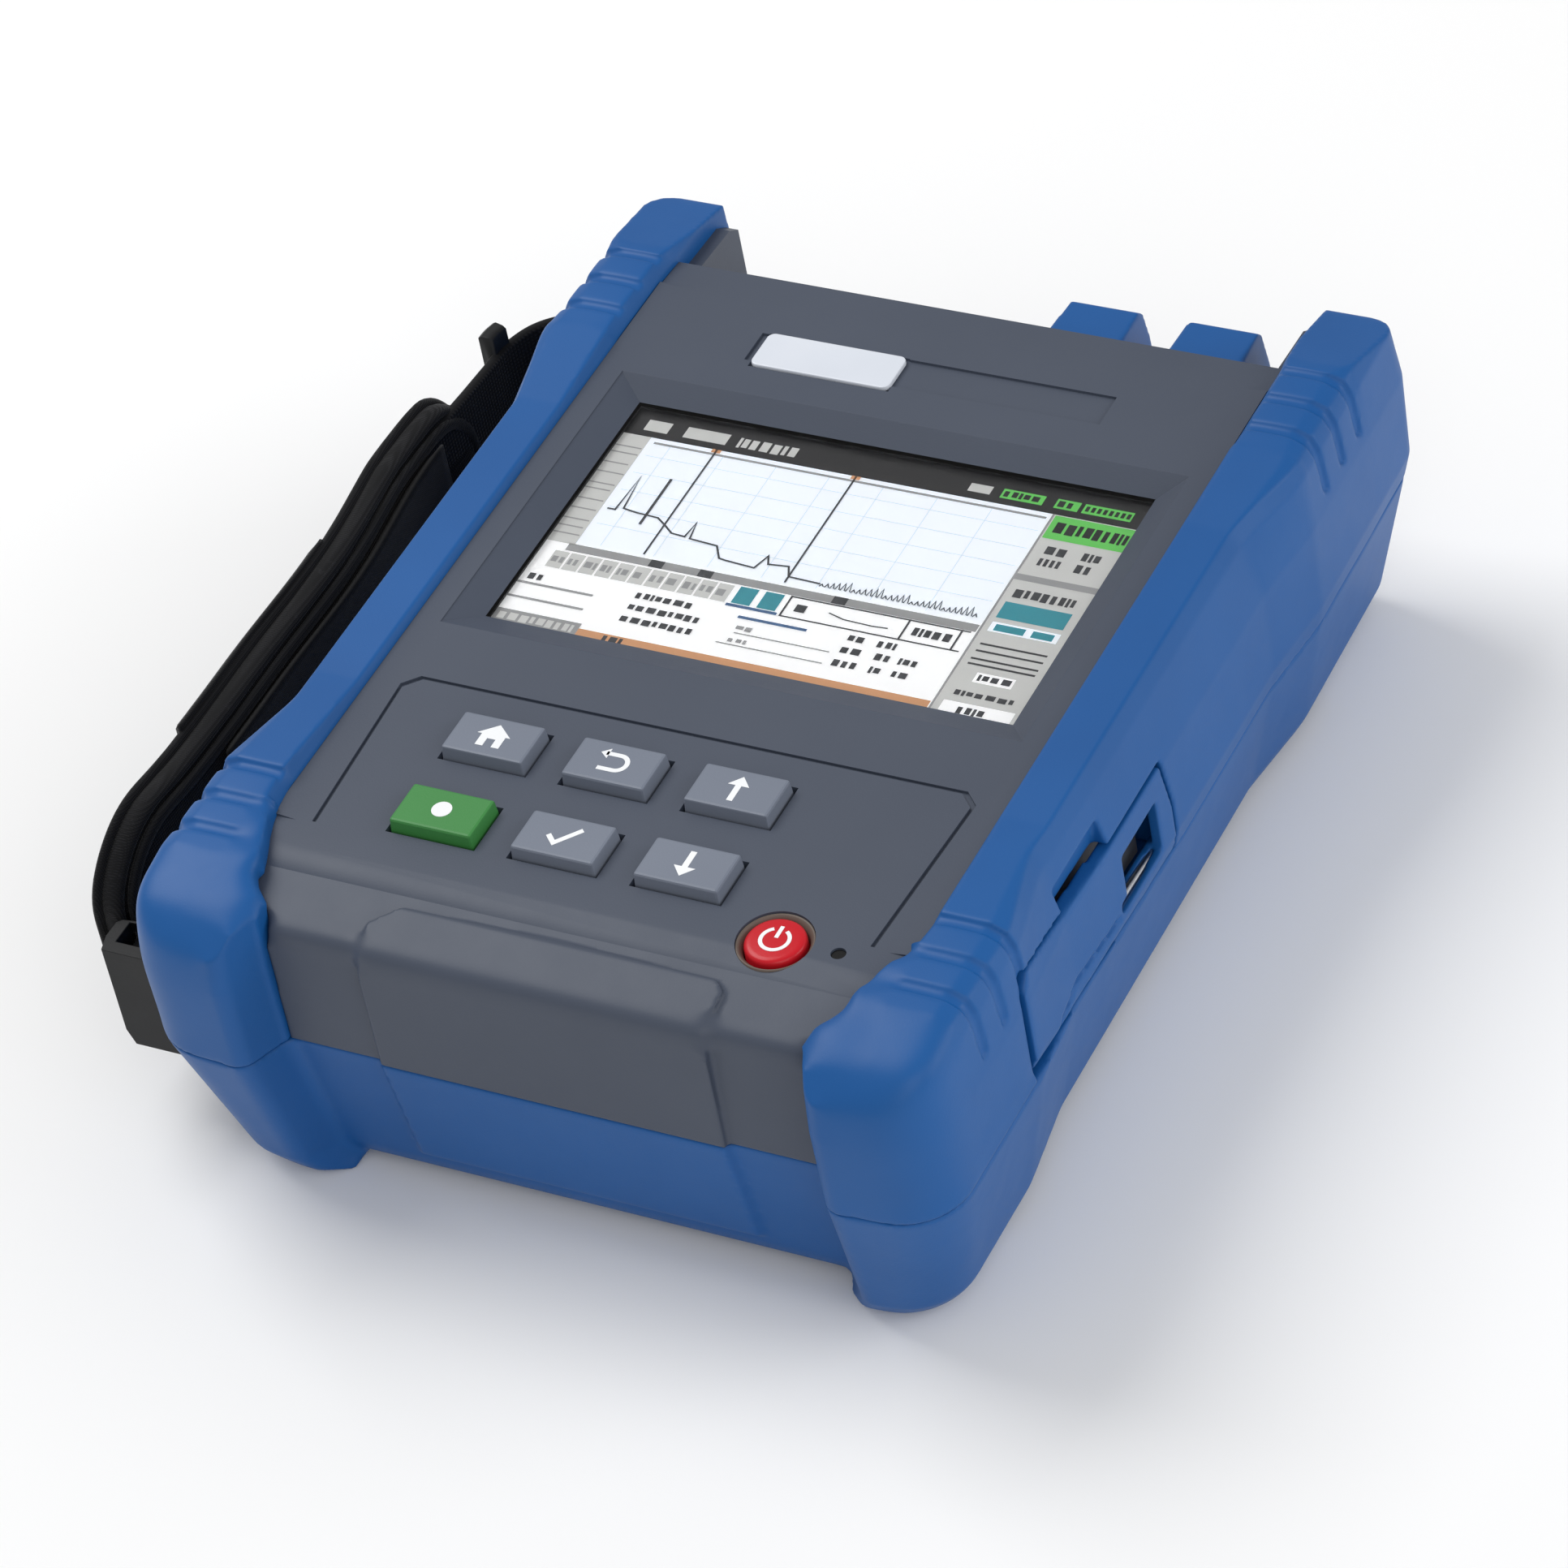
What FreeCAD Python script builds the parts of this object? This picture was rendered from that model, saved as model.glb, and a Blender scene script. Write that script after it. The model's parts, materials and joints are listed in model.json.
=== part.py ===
"""Hand-held optical time domain reflectometer: case, display, keys, ports, side door, stand and strap.

Millimetres.  X runs across the case (right is +X), Y runs from the front edge (-Y) to the fibre ports
(+Y), Z is up.  The sheet holds every size; a sub-part reads its sizes from the sheet by expression.
"""
import FreeCAD, Part
import Sketcher
import math
import os
import re

V = FreeCAD.Vector

# ---------------------------------------------------------------------------------------------
# Driving dimensions.  Each name is a cell alias.  Lengths are millimetres, angles are degrees.
# ---------------------------------------------------------------------------------------------
SIZES = {
    # outer form of the case
    "rail_wide": 17.5,         # from the top cover's edge to the outside of the bumpers
    "corner_round": 12.5,      # plan radius of the outer corners
    "waist_inset": 1.8,        # how far the grip waist lies inside the bumpers
    "waist_front": 50.0,       # start of the waist, in front of the origin
    "waist_rear": 42.0,        # end of the waist, behind the origin
    "flare": 20.0,             # length over which the waist runs out to the bumpers
    "bumper_front": 114.0,     # front of the corner bumpers
    "horn_rear": 114.0,        # rear of the horns that guard the fibre ports
    "face_front": 103.5,       # front face between the bumpers
    "face_inset": 10.5,        # from the top cover's edge in to the end of that face
    "bumper_inset": 6.0,       # from the top cover's edge in to a bumper's inner front corner
    "cover_margin": 10.5,      # from the screen opening to the top cover's edge
    "plate_rear": 92.5,        # rear edge of the top cover's plate
    "tub_rear": 97.0,          # rear wall of the lower case, under the ports
    "plate_top": 69.6,         # height of the top plate
    "nose_top": 65.8,          # height of the plate at its front edge
    "slope_start": 84.0,       # where the plate starts to fall towards the front
    "lip_rise": 0.6,           # rise of the plate's side margins to the rails
    "lip_run": 5.0,            # width of those margins
    "crest_high": 73.6,        # rail height at the front and rear
    "crest_low": 72.0,         # rail height along the grip
    "seam_rear": 32.8,         # parting line at the rear
    "seam_front": 38.0,        # parting line at the front
    "seam_rear_bend": 0.0,     # where the parting line starts to rise
    "seam_front_bend": -75.0,  # where it runs level again
    "belly": 4.0,              # underside of the lower case between its feet
    "foot_reach": 34.0,        # length of a corner foot
    "foot_half": 54.0,         # half of the free width between the left and right feet
    "wall": 3.0,               # moulded wall of the shells
    "groove_deep": 1.1,        # depth of the grip grooves
    "groove_wide": 2.4,
    "groove_end": 59.0,        # height at which the grooves run out down the side
    "groove_pitch": 8.6,       # from one grip groove to the next
    "groove_first": 69.5,      # nearest grip groove to the middle, front and rear
    # front tongue
    "tongue_half": 36.0,
    "tongue_proud": 1.3,
    "tongue_rear": 92.0,
    "tongue_bevel": 5.0,
    # display
    "screen_wide": 112.0,
    "screen_high": 66.3,
    "screen_mid": 19.8,        # middle of the opening, behind the origin
    "bezel_deep": 3.4,
    "bezel_side": 5.8,
    "bezel_front": 7.1,
    "bezel_rear": 4.5,
    "window_lap": 2.2,
    "window_thick": 1.5,
    "gasket_thick": 0.6,
    "lcd_lap": 4.0,
    "lcd_thick": 5.6,
    "tray_thick": 1.2,
    "tray_ear": 9.0,
    # keypad
    "key_wide": 18.2,
    "key_long": 11.2,
    "key_draft": 0.5,
    "key_top": 72.2,
    "key_gap": 0.35,
    "key_lip": 1.4,
    "key_lip_high": 1.4,
    "key_left": -34.0,
    "key_pitch": 25.6,
    "key_row": -49.4,
    "key_row_pitch": 20.6,
    "key_travel": 1.2,
    "mat_thick": 1.2,
    "mat_dome": 1.0,
    "board_thick": 1.6,
    "pad_outline_half": 60.5,
    "pad_outline_narrow": 58.0,
    "pad_outline_rear": -35.5,
    "pad_outline_front": -83.5,
    "outline_wide": 0.8,
    "outline_deep": 0.6,
    # power key and lamp
    "power_x": 40.1,
    "power_y": -81.0,
    "power_well": 7.4,
    "power_radius": 6.6,
    "power_top": 70.4,
    "power_flange": 8.6,
    "lamp_x": 52.7,
    "lamp_y": -80.8,
    "lamp_radius": 1.4,
    "lamp_gap": 0.05,
    # name recess and blank plate
    "name_left": -39.0,
    "name_right": 38.4,
    "name_front": 67.1,
    "name_rear": 75.6,
    "name_deep": 0.6,
    "badge_left": -37.4,
    "badge_wide": 31.0,
    "badge_front": 65.4,
    "badge_long": 10.4,
    "badge_thick": 1.2,
    # fibre ports and their caps
    "panel_thick": 3.0,
    "panel_back": 1.0,         # how far the port panel lies inside the plate's rear edge
    "panel_gap": 0.2,
    "port_one": 20.5,
    "port_pitch": 25.8,
    "port_height": 55.0,
    "port_flange": 11.0,
    "port_flange_thick": 1.6,
    "port_barrel": 4.0,
    "port_reach": 7.4,
    "port_tail": 6.0,
    "port_bore": 1.26,
    "cap_wide": 16.2,
    "cap_draft": 0.75,
    "cap_low": 47.6,
    "cap_rear": 113.6,
    "cap_lean": 3.5,
    "cap_wall": 1.5,
    "cap_pin_y": 96.2,
    "cap_pin_z": 61.6,
    "cap_knuckle": 2.0,
    "cap_gap": 0.4,
    "pin_radius": 1.0,
    "pin_gap": 0.05,
    "ear_thick": 2.0,
    "ear_radius": 2.0,
    # side door
    "door_front": -71.5,
    "door_rear": -5.0,
    "door_lean": 2.6,
    "door_top_rear": 57.2,
    "door_top_mid": 58.4,
    "door_top_front": 62.4,
    "door_skin": 2.6,
    "door_gap": 0.7,
    "door_axis_up": 4.6,       # hinge line above the parting line
    "door_foot_gap": 0.9,
    "door_axis_in": 3.6,       # hinge line inside the case side
    "door_knuckle": 2.0,
    "door_pin": 0.8,
    "door_pin_reach": 3.0,
    "bay_deep": 16.6,          # from the outside of the bumpers in to the floor of the bay
    "bay_rear": -9.0,
    "bay_front": -67.5,
    "bay_top": 54.5,
    "door_window_front": -26.5,
    "door_window_rear": -11.0,
    "door_window_low": 39.2,
    "door_window_top": 51.4,
    "door_notch": 2.6,
    "scoop_front": -50.0,
    "scoop_rear": -30.5,
    "scoop_high": 5.5,
    "scoop_deep": 4.0,
    # connectors in the bay
    "block_deep": 8.5,
    "block_gap": 0.25,
    "dc_y": -18.7,
    "jack_z": 46.2,
    "dc_outer": 4.6,
    "dc_socket": 2.9,
    "dc_pin": 1.0,
    "usb_y": -35.0,
    "usb_wide": 13.1,
    "usb_high": 5.8,
    "lan_y": -54.0,
    "lan_wide": 15.6,
    "lan_high": 12.4,
    "jack_wall": 0.8,
    "jack_fit": 0.05,
    # inside
    "floor_thick": 3.0,
    "tub_side": 14.0,
    "cell_wide": 94.0,
    "cell_long": 66.0,
    "cell_high": 19.0,
    "cell_front": -38.0,
    "hatch_lap": 5.0,
    "hatch_thick": 2.4,
    "hatch_gap": 0.3,
    "screw_radius": 1.5,
    "screw_head": 2.8,
    "screw_head_high": 1.8,
    "screw_fit": 0.03,
    "post_half": 3.4,
    "post_in": 6.5,            # from the top cover's edge in to a screw post
    "post_front": -66.0,
    "post_rear": 69.0,
    "board_wide": 100.0,
    "board_front": -84.0,
    "board_rear": 84.0,
    "board_low": 34.0,
    "board_post": 3.2,
    "board_post_in": 5.0,
    "module_left": 6.0,
    "module_right": 52.0,
    "module_front": 66.5,
    "module_rear": 82.0,
    "module_top": 63.0,
    # tilt stand
    "stand_wide": 88.0,
    "stand_long": 52.0,
    "stand_thick": 3.0,
    "stand_rear": 88.0,
    "stand_gap": 0.5,
    "stand_leg": 12.0,
    "stand_pin": 0.8,
    "stand_pin_reach": 3.0,
    # hand strap
    "lug_front": -98.0,
    "lug_rear": 72.0,
    "lug_long": 11.0,
    "lug_reach": 16.5,
    "lug_chamfer": 2.4,
    "lug_low": 19.0,
    "lug_top": 44.0,
    "lug_bar": 2.8,
    "lug_base": 3.0,
    "strap_thick": 8.5,
    "strap_low": 22.0,
    "strap_top": 59.0,
    "strap_stand_off": 25.5,   # from the outside of the bumpers to the outside of the pad
    "strap_front": -89.0,
    "strap_rear": 74.0,
    "strap_bow": 3.0,
    "band_thick": 2.0,
    "band_low": 25.0,
    "band_wide": 13.0,
    "band_lap": 20.0,
}

# Lengths that follow from others.
FOLLOW = {
    "case_shift": "((strap_out-case_half)/2)",     # case's centre plane, from the middle of the whole
    "strap_out": "(case_half+strap_stand_off)",
    "lug_out": "(case_half+lug_reach)",
    "bay_floor": "(case_half-bay_deep)",
    "block_face": "(case_half-block_deep)",
    "tub_room_half": "(case_half-tub_side)",
    "case_half": "(cover_half+rail_wide)",         # half width over the corner bumpers
    "face_half": "(cover_half-face_inset)",        # half width of the front face
    "bumper_in": "(cover_half-bumper_inset)",      # inner front corner of a bumper
    "post_x": "(cover_half-post_in)",
    "cover_half": "(screen_wide/2+cover_margin)",  # half width of the top cover between the rails
}

doc = FreeCAD.newDocument("reflectometer")
sheet = doc.addObject("Spreadsheet::Sheet", "sizes")
for row, (alias, value) in enumerate(SIZES.items(), start=1):
    sheet.set(f"A{row}", alias.replace("_", " "))
    sheet.set(f"B{row}", str(value))
    sheet.setAlias(f"B{row}", alias)
doc.recompute()

NODES = []
ACROSS = {}    # the X formula of each thing that has a place of its own


# ---------------------------------------------------------------------------------------------
# Helpers
# ---------------------------------------------------------------------------------------------
NAME = re.compile(r"[a-z]+(?:_[a-z]+)*")


def spelled(text):
    """A formula with the lengths that follow from others written out in cell names."""
    text = str(text)
    for name, meaning in FOLLOW.items():
        text = re.sub(rf"\b{name}\b", meaning, text)
    return text


def formula(text):
    """A formula written the way the document's expressions want it."""
    return NAME.sub(lambda word: "sizes." + word.group(0), spelled(text))


def cell(text):
    """The value of a formula."""
    total = FreeCAD.Units.Quantity(
        NAME.sub(lambda word: f"({sheet.get(word.group(0))})", spelled(text)))
    return total.Value


def bind(thing, **formulas):
    """Tie properties to the sheet; a double underscore stands for a dot."""
    for name, text in formulas.items():
        thing.setExpression(name.replace("__", "."), formula(text))
    return thing


def place(thing, x, y, z):
    ACROSS[thing.Name] = x
    return bind(thing, Placement__Base__x=x, Placement__Base__y=y, Placement__Base__z=z)


def box(name, x, y, z):
    """A block between pairs of formulas (low, high) along X, Y and Z."""
    block = place(doc.addObject("Part::Box", name), x[0], y[0], z[0])
    return bind(block, Length=f"({x[1]})-({x[0]})", Width=f"({y[1]})-({y[0]})",
                Height=f"({z[1]})-({z[0]})")


def rod(name, radius, start, length, axis="Z"):
    """A cylinder from a start point along one axis."""
    turned = {"X": FreeCAD.Rotation(V(0, 1, 0), 90), "Y": FreeCAD.Rotation(V(1, 0, 0), -90),
              "Z": FreeCAD.Rotation()}
    cylinder = doc.addObject("Part::Cylinder", name)
    cylinder.Placement.Rotation = turned[axis]
    place(cylinder, *start)
    return bind(cylinder, Radius=radius, Height=length)


def cone(name, low_radius, high_radius, start, length):
    tapered = place(doc.addObject("Part::Cone", name), *start)
    return bind(tapered, Radius1=low_radius, Radius2=high_radius, Height=length)


def frustum(name, low, high, z):
    """A tapered block: low and high are (x0, x1, y0, y1) at the two heights z."""
    wedge = doc.addObject("Part::Wedge", name)
    wedge.Placement.Rotation = FreeCAD.Rotation(V(1, 0, 0), 90)
    return bind(wedge, Ymin=z[0], Ymax=z[1],
                Xmin=low[0], Xmax=low[1], Zmin=f"-({low[3]})", Zmax=f"-({low[2]})",
                X2min=high[0], X2max=high[1], Z2min=f"-({high[3]})", Z2max=f"-({high[2]})")


def prism(name, plane, points, low, high):
    """A PartDesign body: a polygon of formula pairs, padded from low to high across its plane.

    The polygon is (x, y) on XY, (x, z) on XZ and (y, z) on YZ.
    """
    body = doc.addObject("PartDesign::Body", name)
    sketch = body.newObject("Sketcher::SketchObject", name + "_sketch")
    support = [item for item in body.Origin.OriginFeatures if item.Role == plane + "_Plane"][0]
    sketch.AttachmentSupport = [(support, "")]
    sketch.MapMode = "FlatFace"
    start = f"-({high})" if plane == "XZ" else low
    bind(sketch, AttachmentOffset__Base__z=start)
    spots = [V(cell(first), cell(second), 0) for first, second in points]
    for index, spot in enumerate(spots):
        sketch.addGeometry(Part.LineSegment(spot, spots[(index + 1) % len(spots)]))
    for index in range(len(spots)):
        sketch.addConstraint(Sketcher.Constraint("Coincident", index, 2, (index + 1) % len(spots), 1))
    for index, (first, second) in enumerate(points):
        for kind, text, value in (("DistanceX", first, spots[index].x),
                                  ("DistanceY", second, spots[index].y)):
            number = sketch.addConstraint(Sketcher.Constraint(kind, -1, 1, index, 1, value))
            sketch.setExpression(f"Constraints[{number}]", formula(text))
    pad = body.newObject("PartDesign::Pad", name + "_pad")
    pad.Profile = sketch
    bind(pad, Length=f"({high})-({low})")
    return body


def fuse(name, things):
    joined = doc.addObject("Part::MultiFuse", name)
    joined.Shapes = things
    joined.Refine = True
    return joined


def common(name, things):
    shared = doc.addObject("Part::MultiCommon", name)
    shared.Shapes = things
    shared.Refine = True
    return shared


def cut(name, base, tools):
    """Base less its tools."""
    result = doc.addObject("Part::Cut", name)
    result.Base = base
    result.Tool = tools[0] if len(tools) == 1 else fuse(name + "_tools", tools)
    result.Refine = True
    return result


def soften(name, base, radius, chosen):
    """Round the edges of base for which chosen(edge) is true."""
    doc.recompute()
    fillet = doc.addObject("Part::Fillet", name)
    fillet.Base = base
    size = cell(radius)
    fillet.Edges = [(number, size, size) for number, edge in enumerate(base.Shape.Edges, start=1)
                    if chosen(edge)]
    return fillet


def feature(name, shape):
    thing = doc.addObject("Part::Feature", name)
    thing.Shape = shape
    return thing


def node(thing, label):
    """Name a finished sub-part and set it about the case's centre plane."""
    thing.Label = label
    bind(thing, Placement__Base__x=f"case_shift+({ACROSS.get(thing.Name, 0)})")
    NODES.append(thing)
    return thing


def upright(edge):
    """True for a straight edge that runs along Z."""
    ends = [vertex.Point for vertex in edge.Vertexes]
    return len(ends) == 2 and math.hypot(ends[0].x - ends[1].x, ends[0].y - ends[1].y) < 1e-6


# ---------------------------------------------------------------------------------------------
# Outer form: a loft through plan outlines, from the feet to the rail crests
# ---------------------------------------------------------------------------------------------
def rounded_wire(corners, height):
    """A closed wire at one height: straight runs joined by tangent arcs at (x, y, radius)."""
    count = len(corners)
    runs = []
    for index, (x, y, radius) in enumerate(corners):
        here = V(x, y, height)
        back = V(*corners[index - 1][:2], height) - here
        ahead = V(*corners[(index + 1) % count][:2], height) - here
        back.normalize()
        ahead.normalize()
        half = back.getAngle(ahead) / 2
        reach = radius / math.tan(half)
        middle = (back + ahead).normalize() * (radius / math.sin(half) - radius)
        runs.append((here + back * reach, here + middle, here + ahead * reach))
    edges = []
    for index, (start, middle, end) in enumerate(runs):
        edges.append(Part.Arc(start, middle, end).toShape())
        edges.append(Part.makeLine(end, runs[(index + 1) % count][0]))
    return Part.Wire(edges)


def plan_outline(height, side, waist, front):
    """The case's plan at one height; side, waist and front say how far it lies inside the largest."""
    half = cell("case_half") - side
    narrow = cell("case_half - waist_inset") - waist
    front_y = -cell("bumper_front") + front
    rear_y = cell("horn_rear") - front * 0.8
    low = max(0.0, side - 6)
    right = [
        (cell("face_half") - low, -cell("face_front") + front * 0.7, 3),
        (cell("bumper_in") - low, front_y, 4),
        (half, front_y + 1.5, cell("corner_round")),
        (half, -cell("waist_front + flare"), cell("flare")),
        (narrow, -cell("waist_front"), cell("flare")),
        (narrow, cell("waist_rear"), cell("flare")),
        (half, cell("waist_rear + flare"), cell("flare")),
        (half - 0.8, rear_y, 6),
        (cell("cover_half - wall") - low, rear_y, 2.5),
        (cell("cover_half - wall") - low, cell("tub_rear"), 2),
    ]
    left = [(-x, y, radius) for x, y, radius in reversed(right)]
    return rounded_wire(right + left, height)


def outer_form(inside, first):
    """The case as one solid, lofted upwards from one of its levels and shrunk by a length."""
    foot = cell("seam_front")
    levels = [
        # height, side, waist, front
        (0.0, 14.0, 14.5, 14.0),
        (2.2, 10.0, 10.8, 10.0),
        (7.0, 7.2, 8.2, 7.2),
        (foot, 0.2, 0.3, 0.3),
        (foot + 19, 0.0, 0.2, 0.0),
        (cell("crest_high") - 4.6, 1.0, 3.4, 1.4),
        (cell("crest_high") - 1.4, 2.4, 5.6, 4.0),
        (cell("crest_high"), 5.5, 9.0, 8.0),
    ]
    wires = [plan_outline(height - inside, side + inside, waist + inside, front + inside)
             for height, side, waist, front in levels[first:]]
    return Part.makeLoft(wires, True, True)


case_form = feature("case_form", outer_form(0, 0))
grip_core = feature("grip_core", outer_form(cell("groove_deep"), 3))

# The parting surface, seen from the side, and everything below it.
seam_line = [("-case_half*2", "seam_front"), ("seam_front_bend", "seam_front"),
             ("seam_rear_bend", "seam_rear"), ("case_half*2", "seam_rear")]
below_seam = prism("below_seam", "YZ", seam_line + [("case_half*2", "-20"), ("-case_half*2", "-20")],
                   "-case_half*2", "case_half*2")

# The side view of the crests: low along the grip, falling over the bumpers and over the horns.
crest_line = prism("crest_line", "YZ", [
    ("-bumper_front-9", "-9"), ("-bumper_front-9", "crest_high-17"),
    ("-bumper_front+2", "crest_high-8"), ("-bumper_front+8", "crest_high-2.6"),
    ("-groove_first-24", "crest_high"), ("-groove_first", "crest_high"),
    ("-waist_front+8", "crest_low"), ("waist_rear", "crest_low"),
    ("groove_first", "crest_high"), ("groove_first+19", "crest_high"),
    ("horn_rear-3", "crest_high-5"), ("horn_rear+9", "crest_high-8"), ("horn_rear+9", "-9")],
    "-case_half*2", "case_half*2")

# The block that the top cover fills between the rails.
cover_plan = [("face_half", "-face_front"), ("face_half+0.6", "-face_front+4.5"),
              ("cover_half-2.2", "-face_front+10"), ("cover_half", "-face_front+24"),
              ("cover_half", "horn_rear+20")]
cover_block = prism("cover_block", "XY",
                    cover_plan + [(f"-({x})", y) for x, y in reversed(cover_plan)],
                    "0", "crest_high*2")
front_space = box("front_space", ("-face_half", "face_half"), ("-bumper_front*2", "-face_front"),
                  ("0", "crest_high*2"))


# ---------------------------------------------------------------------------------------------
# Side rails with their bumpers, horns and grip grooves
# ---------------------------------------------------------------------------------------------
def grip_grooves():
    """Three grooves at each end that cross the rail and run a little way down its side."""
    bands = []
    for end, sign in (("front", -1), ("rear", 1)):
        for number in range(3):
            wall = f"({sign})*(groove_first+{number}*groove_pitch)"
            far = f"{wall}+({sign})*groove_wide"
            bands.append(prism(f"groove_{end}_{'abc'[number]}", "YZ", [
                (wall, "groove_end+1"), (far, "groove_end"), (far, "crest_high*2"),
                (wall, "crest_high*2")], "-case_half*2", "case_half*2"))
    return [cut("grip_grooves", fuse("groove_bands", bands), [grip_core])]


def rail_side(sign):
    """Everything on one side of the centre plane."""
    return box("half_space", ("0", "case_half*2") if sign > 0 else ("-case_half*2", "0"),
               ("-case_half*2", "case_half*2"), ("-20", "crest_high*2"))


inner_bevel = [prism(f"inner_bevel_{side}", "XZ", [
    (f"{sign}*cover_half", "plate_top+lip_rise+0.2"), (f"{sign}*(cover_half+1.8)", "crest_high+0.2"),
    (f"{sign}*cover_half", "crest_high+9")], "-case_half*2", "case_half*2")
    for side, sign in (("left", -1), ("right", 1))]
upper_form = cut("upper_form", common("crested_form", [case_form, crest_line]),
                 [below_seam, cover_block, front_space] + inner_bevel + grip_grooves())

left_rail = common("left_rail_form", [upper_form, rail_side(-1)])
node(left_rail, "left_rail")
right_blank = common("right_blank", [upper_form, rail_side(1)])

# ---------------------------------------------------------------------------------------------
# Side door and its bay in the right rail
# ---------------------------------------------------------------------------------------------
seam_rise = "((seam_front-seam_rear)/(seam_rear_bend-seam_front_bend))"


def seam_at(y):
    """Height of the sloping stretch of the parting line at a place y."""
    return f"(seam_rear+(seam_rear_bend-({y}))*{seam_rise})"


def door_outline(gap):
    """The door's edge seen from the side, grown by a gap."""
    front, rear = f"(door_front-{gap})", f"(door_rear+{gap})"
    return [(front, f"{seam_at(front)}-6"), (rear, f"{seam_at(rear)}-6"),
            (rear, f"{seam_at(rear)}+12"), (f"{rear}-door_lean", f"door_top_rear+{gap}"),
            ("scoop_rear", f"door_top_rear+{gap}"), ("scoop_front", f"door_top_mid+{gap}"),
            (f"{front}+3", f"door_top_front+{gap}"), (front, f"door_top_front-3")]


DOOR_LINE = {"x": "case_half-waist_inset-door_axis_in+1", "y": "door_front",
             "z": f"{seam_at('door_front')}+door_axis_up"}
door_slope = math.degrees(math.atan(cell(seam_rise)))


def along_hinge(name, radius, before, length):
    """A cylinder on the door's sloping hinge line; before is how far it starts ahead of the door."""
    tilt = FreeCAD.Rotation(V(1, 0, 0), -90 - door_slope)
    cylinder = doc.addObject("Part::Cylinder", name)
    cylinder.Placement.Rotation = tilt
    place(cylinder, DOOR_LINE["x"], f"{DOOR_LINE['y']}-({before})", f"{DOOR_LINE['z']}+({before})*{seam_rise}")
    return bind(cylinder, Radius=radius, Height=length)


door_long = "(door_rear-door_front)"
door_reach = f"({door_long}*(1+{seam_rise}*{seam_rise}/2))"
door_zone = prism("door_zone", "YZ", door_outline("0"), "bay_floor", "case_half*2")
door_hole = prism("door_hole", "YZ", door_outline("door_gap"), "bay_floor+4", "case_half*2")
above_hinge = prism("above_hinge", "YZ", [
    ("door_front-9", f"{seam_at('(door_front-9)')}+door_axis_up"),
    ("door_rear+9", f"{seam_at('(door_rear+9)')}+door_axis_up"),
    ("door_rear+9", "crest_high*2"), ("door_front-9", "crest_high*2")], "0", "case_half*2")
door_roll = along_hinge("door_roll", "door_axis_up-door_foot_gap", "9", f"{door_reach}+18")
door_limits = fuse("door_limits", [above_hinge, door_roll])
door_inner = prism("door_inner", "XZ", [
    ("case_half-waist_inset-door_skin", "0"), ("case_half*2", "0"), ("case_half*2", "crest_high*2"),
    ("cover_half", "crest_high+4"), ("case_half-waist_inset-door_skin-5", "crest_high-7"),
    ("case_half-waist_inset-door_skin", "door_top_rear-2")], "-case_half*2", "case_half*2")
door_skin = common("door_skin_form", [case_form, door_zone, door_limits, door_inner])
door_barrel = common("door_barrel", [along_hinge("door_barrel_rod", "door_knuckle", "9",
                                                 f"{door_reach}+18"), door_zone])
door_window = box("door_window", ("bay_floor", "case_half*2"), ("door_window_front", "door_window_rear"),
                  ("door_window_low", "door_window_top"))
door_notch = box("door_notch", ("bay_floor", "case_half*2"), ("door_window_front-door_notch", "door_window_front+1"),
                 ("door_window_low", "door_window_low+door_notch"))
door_line = cut("door_line", prism("door_line_band", "YZ", [
    ("door_window_front-door_notch-1", "door_window_low+1"), ("door_front+22", "door_window_low+3"),
    ("door_front+12", "door_window_low+1"), ("door_front+12", "door_window_low-0.2"),
    ("door_front+22", "door_window_low+1.8"), ("door_window_front-door_notch-1", "door_window_low-0.2")],
    "0", "case_half*2"), [grip_core])
door_bore = along_hinge("door_bore", "door_pin+pin_gap", "9", f"{door_reach}+18")
side_door = cut("side_door_form", fuse("side_door_body", [door_skin, door_barrel]),
                [door_window, door_notch, door_line, door_bore])
node(side_door, "side_door")

door_pin = along_hinge("door_pin_rod", "door_pin", "door_pin_reach", f"{door_reach}+2*door_pin_reach")
node(door_pin, "door_pin")

bay = prism("bay", "YZ", [
    ("bay_front", f"{seam_at('bay_front')}+1.6"), ("bay_rear", f"{seam_at('bay_rear')}+1.6"),
    ("bay_rear", "bay_top"), ("bay_front", "bay_top")], "bay_floor", "case_half*2")
scoop = prism("scoop", "XZ", [
    ("case_half-waist_inset-scoop_deep", "door_top_mid-2"), ("case_half*2", "door_top_mid-2"),
    ("case_half*2", "door_top_mid+scoop_high+6"),
    ("case_half-waist_inset-scoop_deep+1", "door_top_mid+scoop_high")],
    "scoop_front", "scoop_rear")
pin_hole = along_hinge("pin_hole", "door_pin+0.03", "door_pin_reach", f"{door_reach}+2*door_pin_reach")
right_rail = cut("right_rail_form", right_blank, [bay, door_hole, scoop, pin_hole])
node(right_rail, "right_rail")

# ---------------------------------------------------------------------------------------------
# Connectors behind the door
# ---------------------------------------------------------------------------------------------


def jack_space(name, place_y, wide, high):
    return box(name, ("bay_floor", "case_half"), (f"{place_y}-{wide}/2", f"{place_y}+{wide}/2"),
               (f"jack_z-{high}/2", f"jack_z+{high}/2"))


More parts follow.
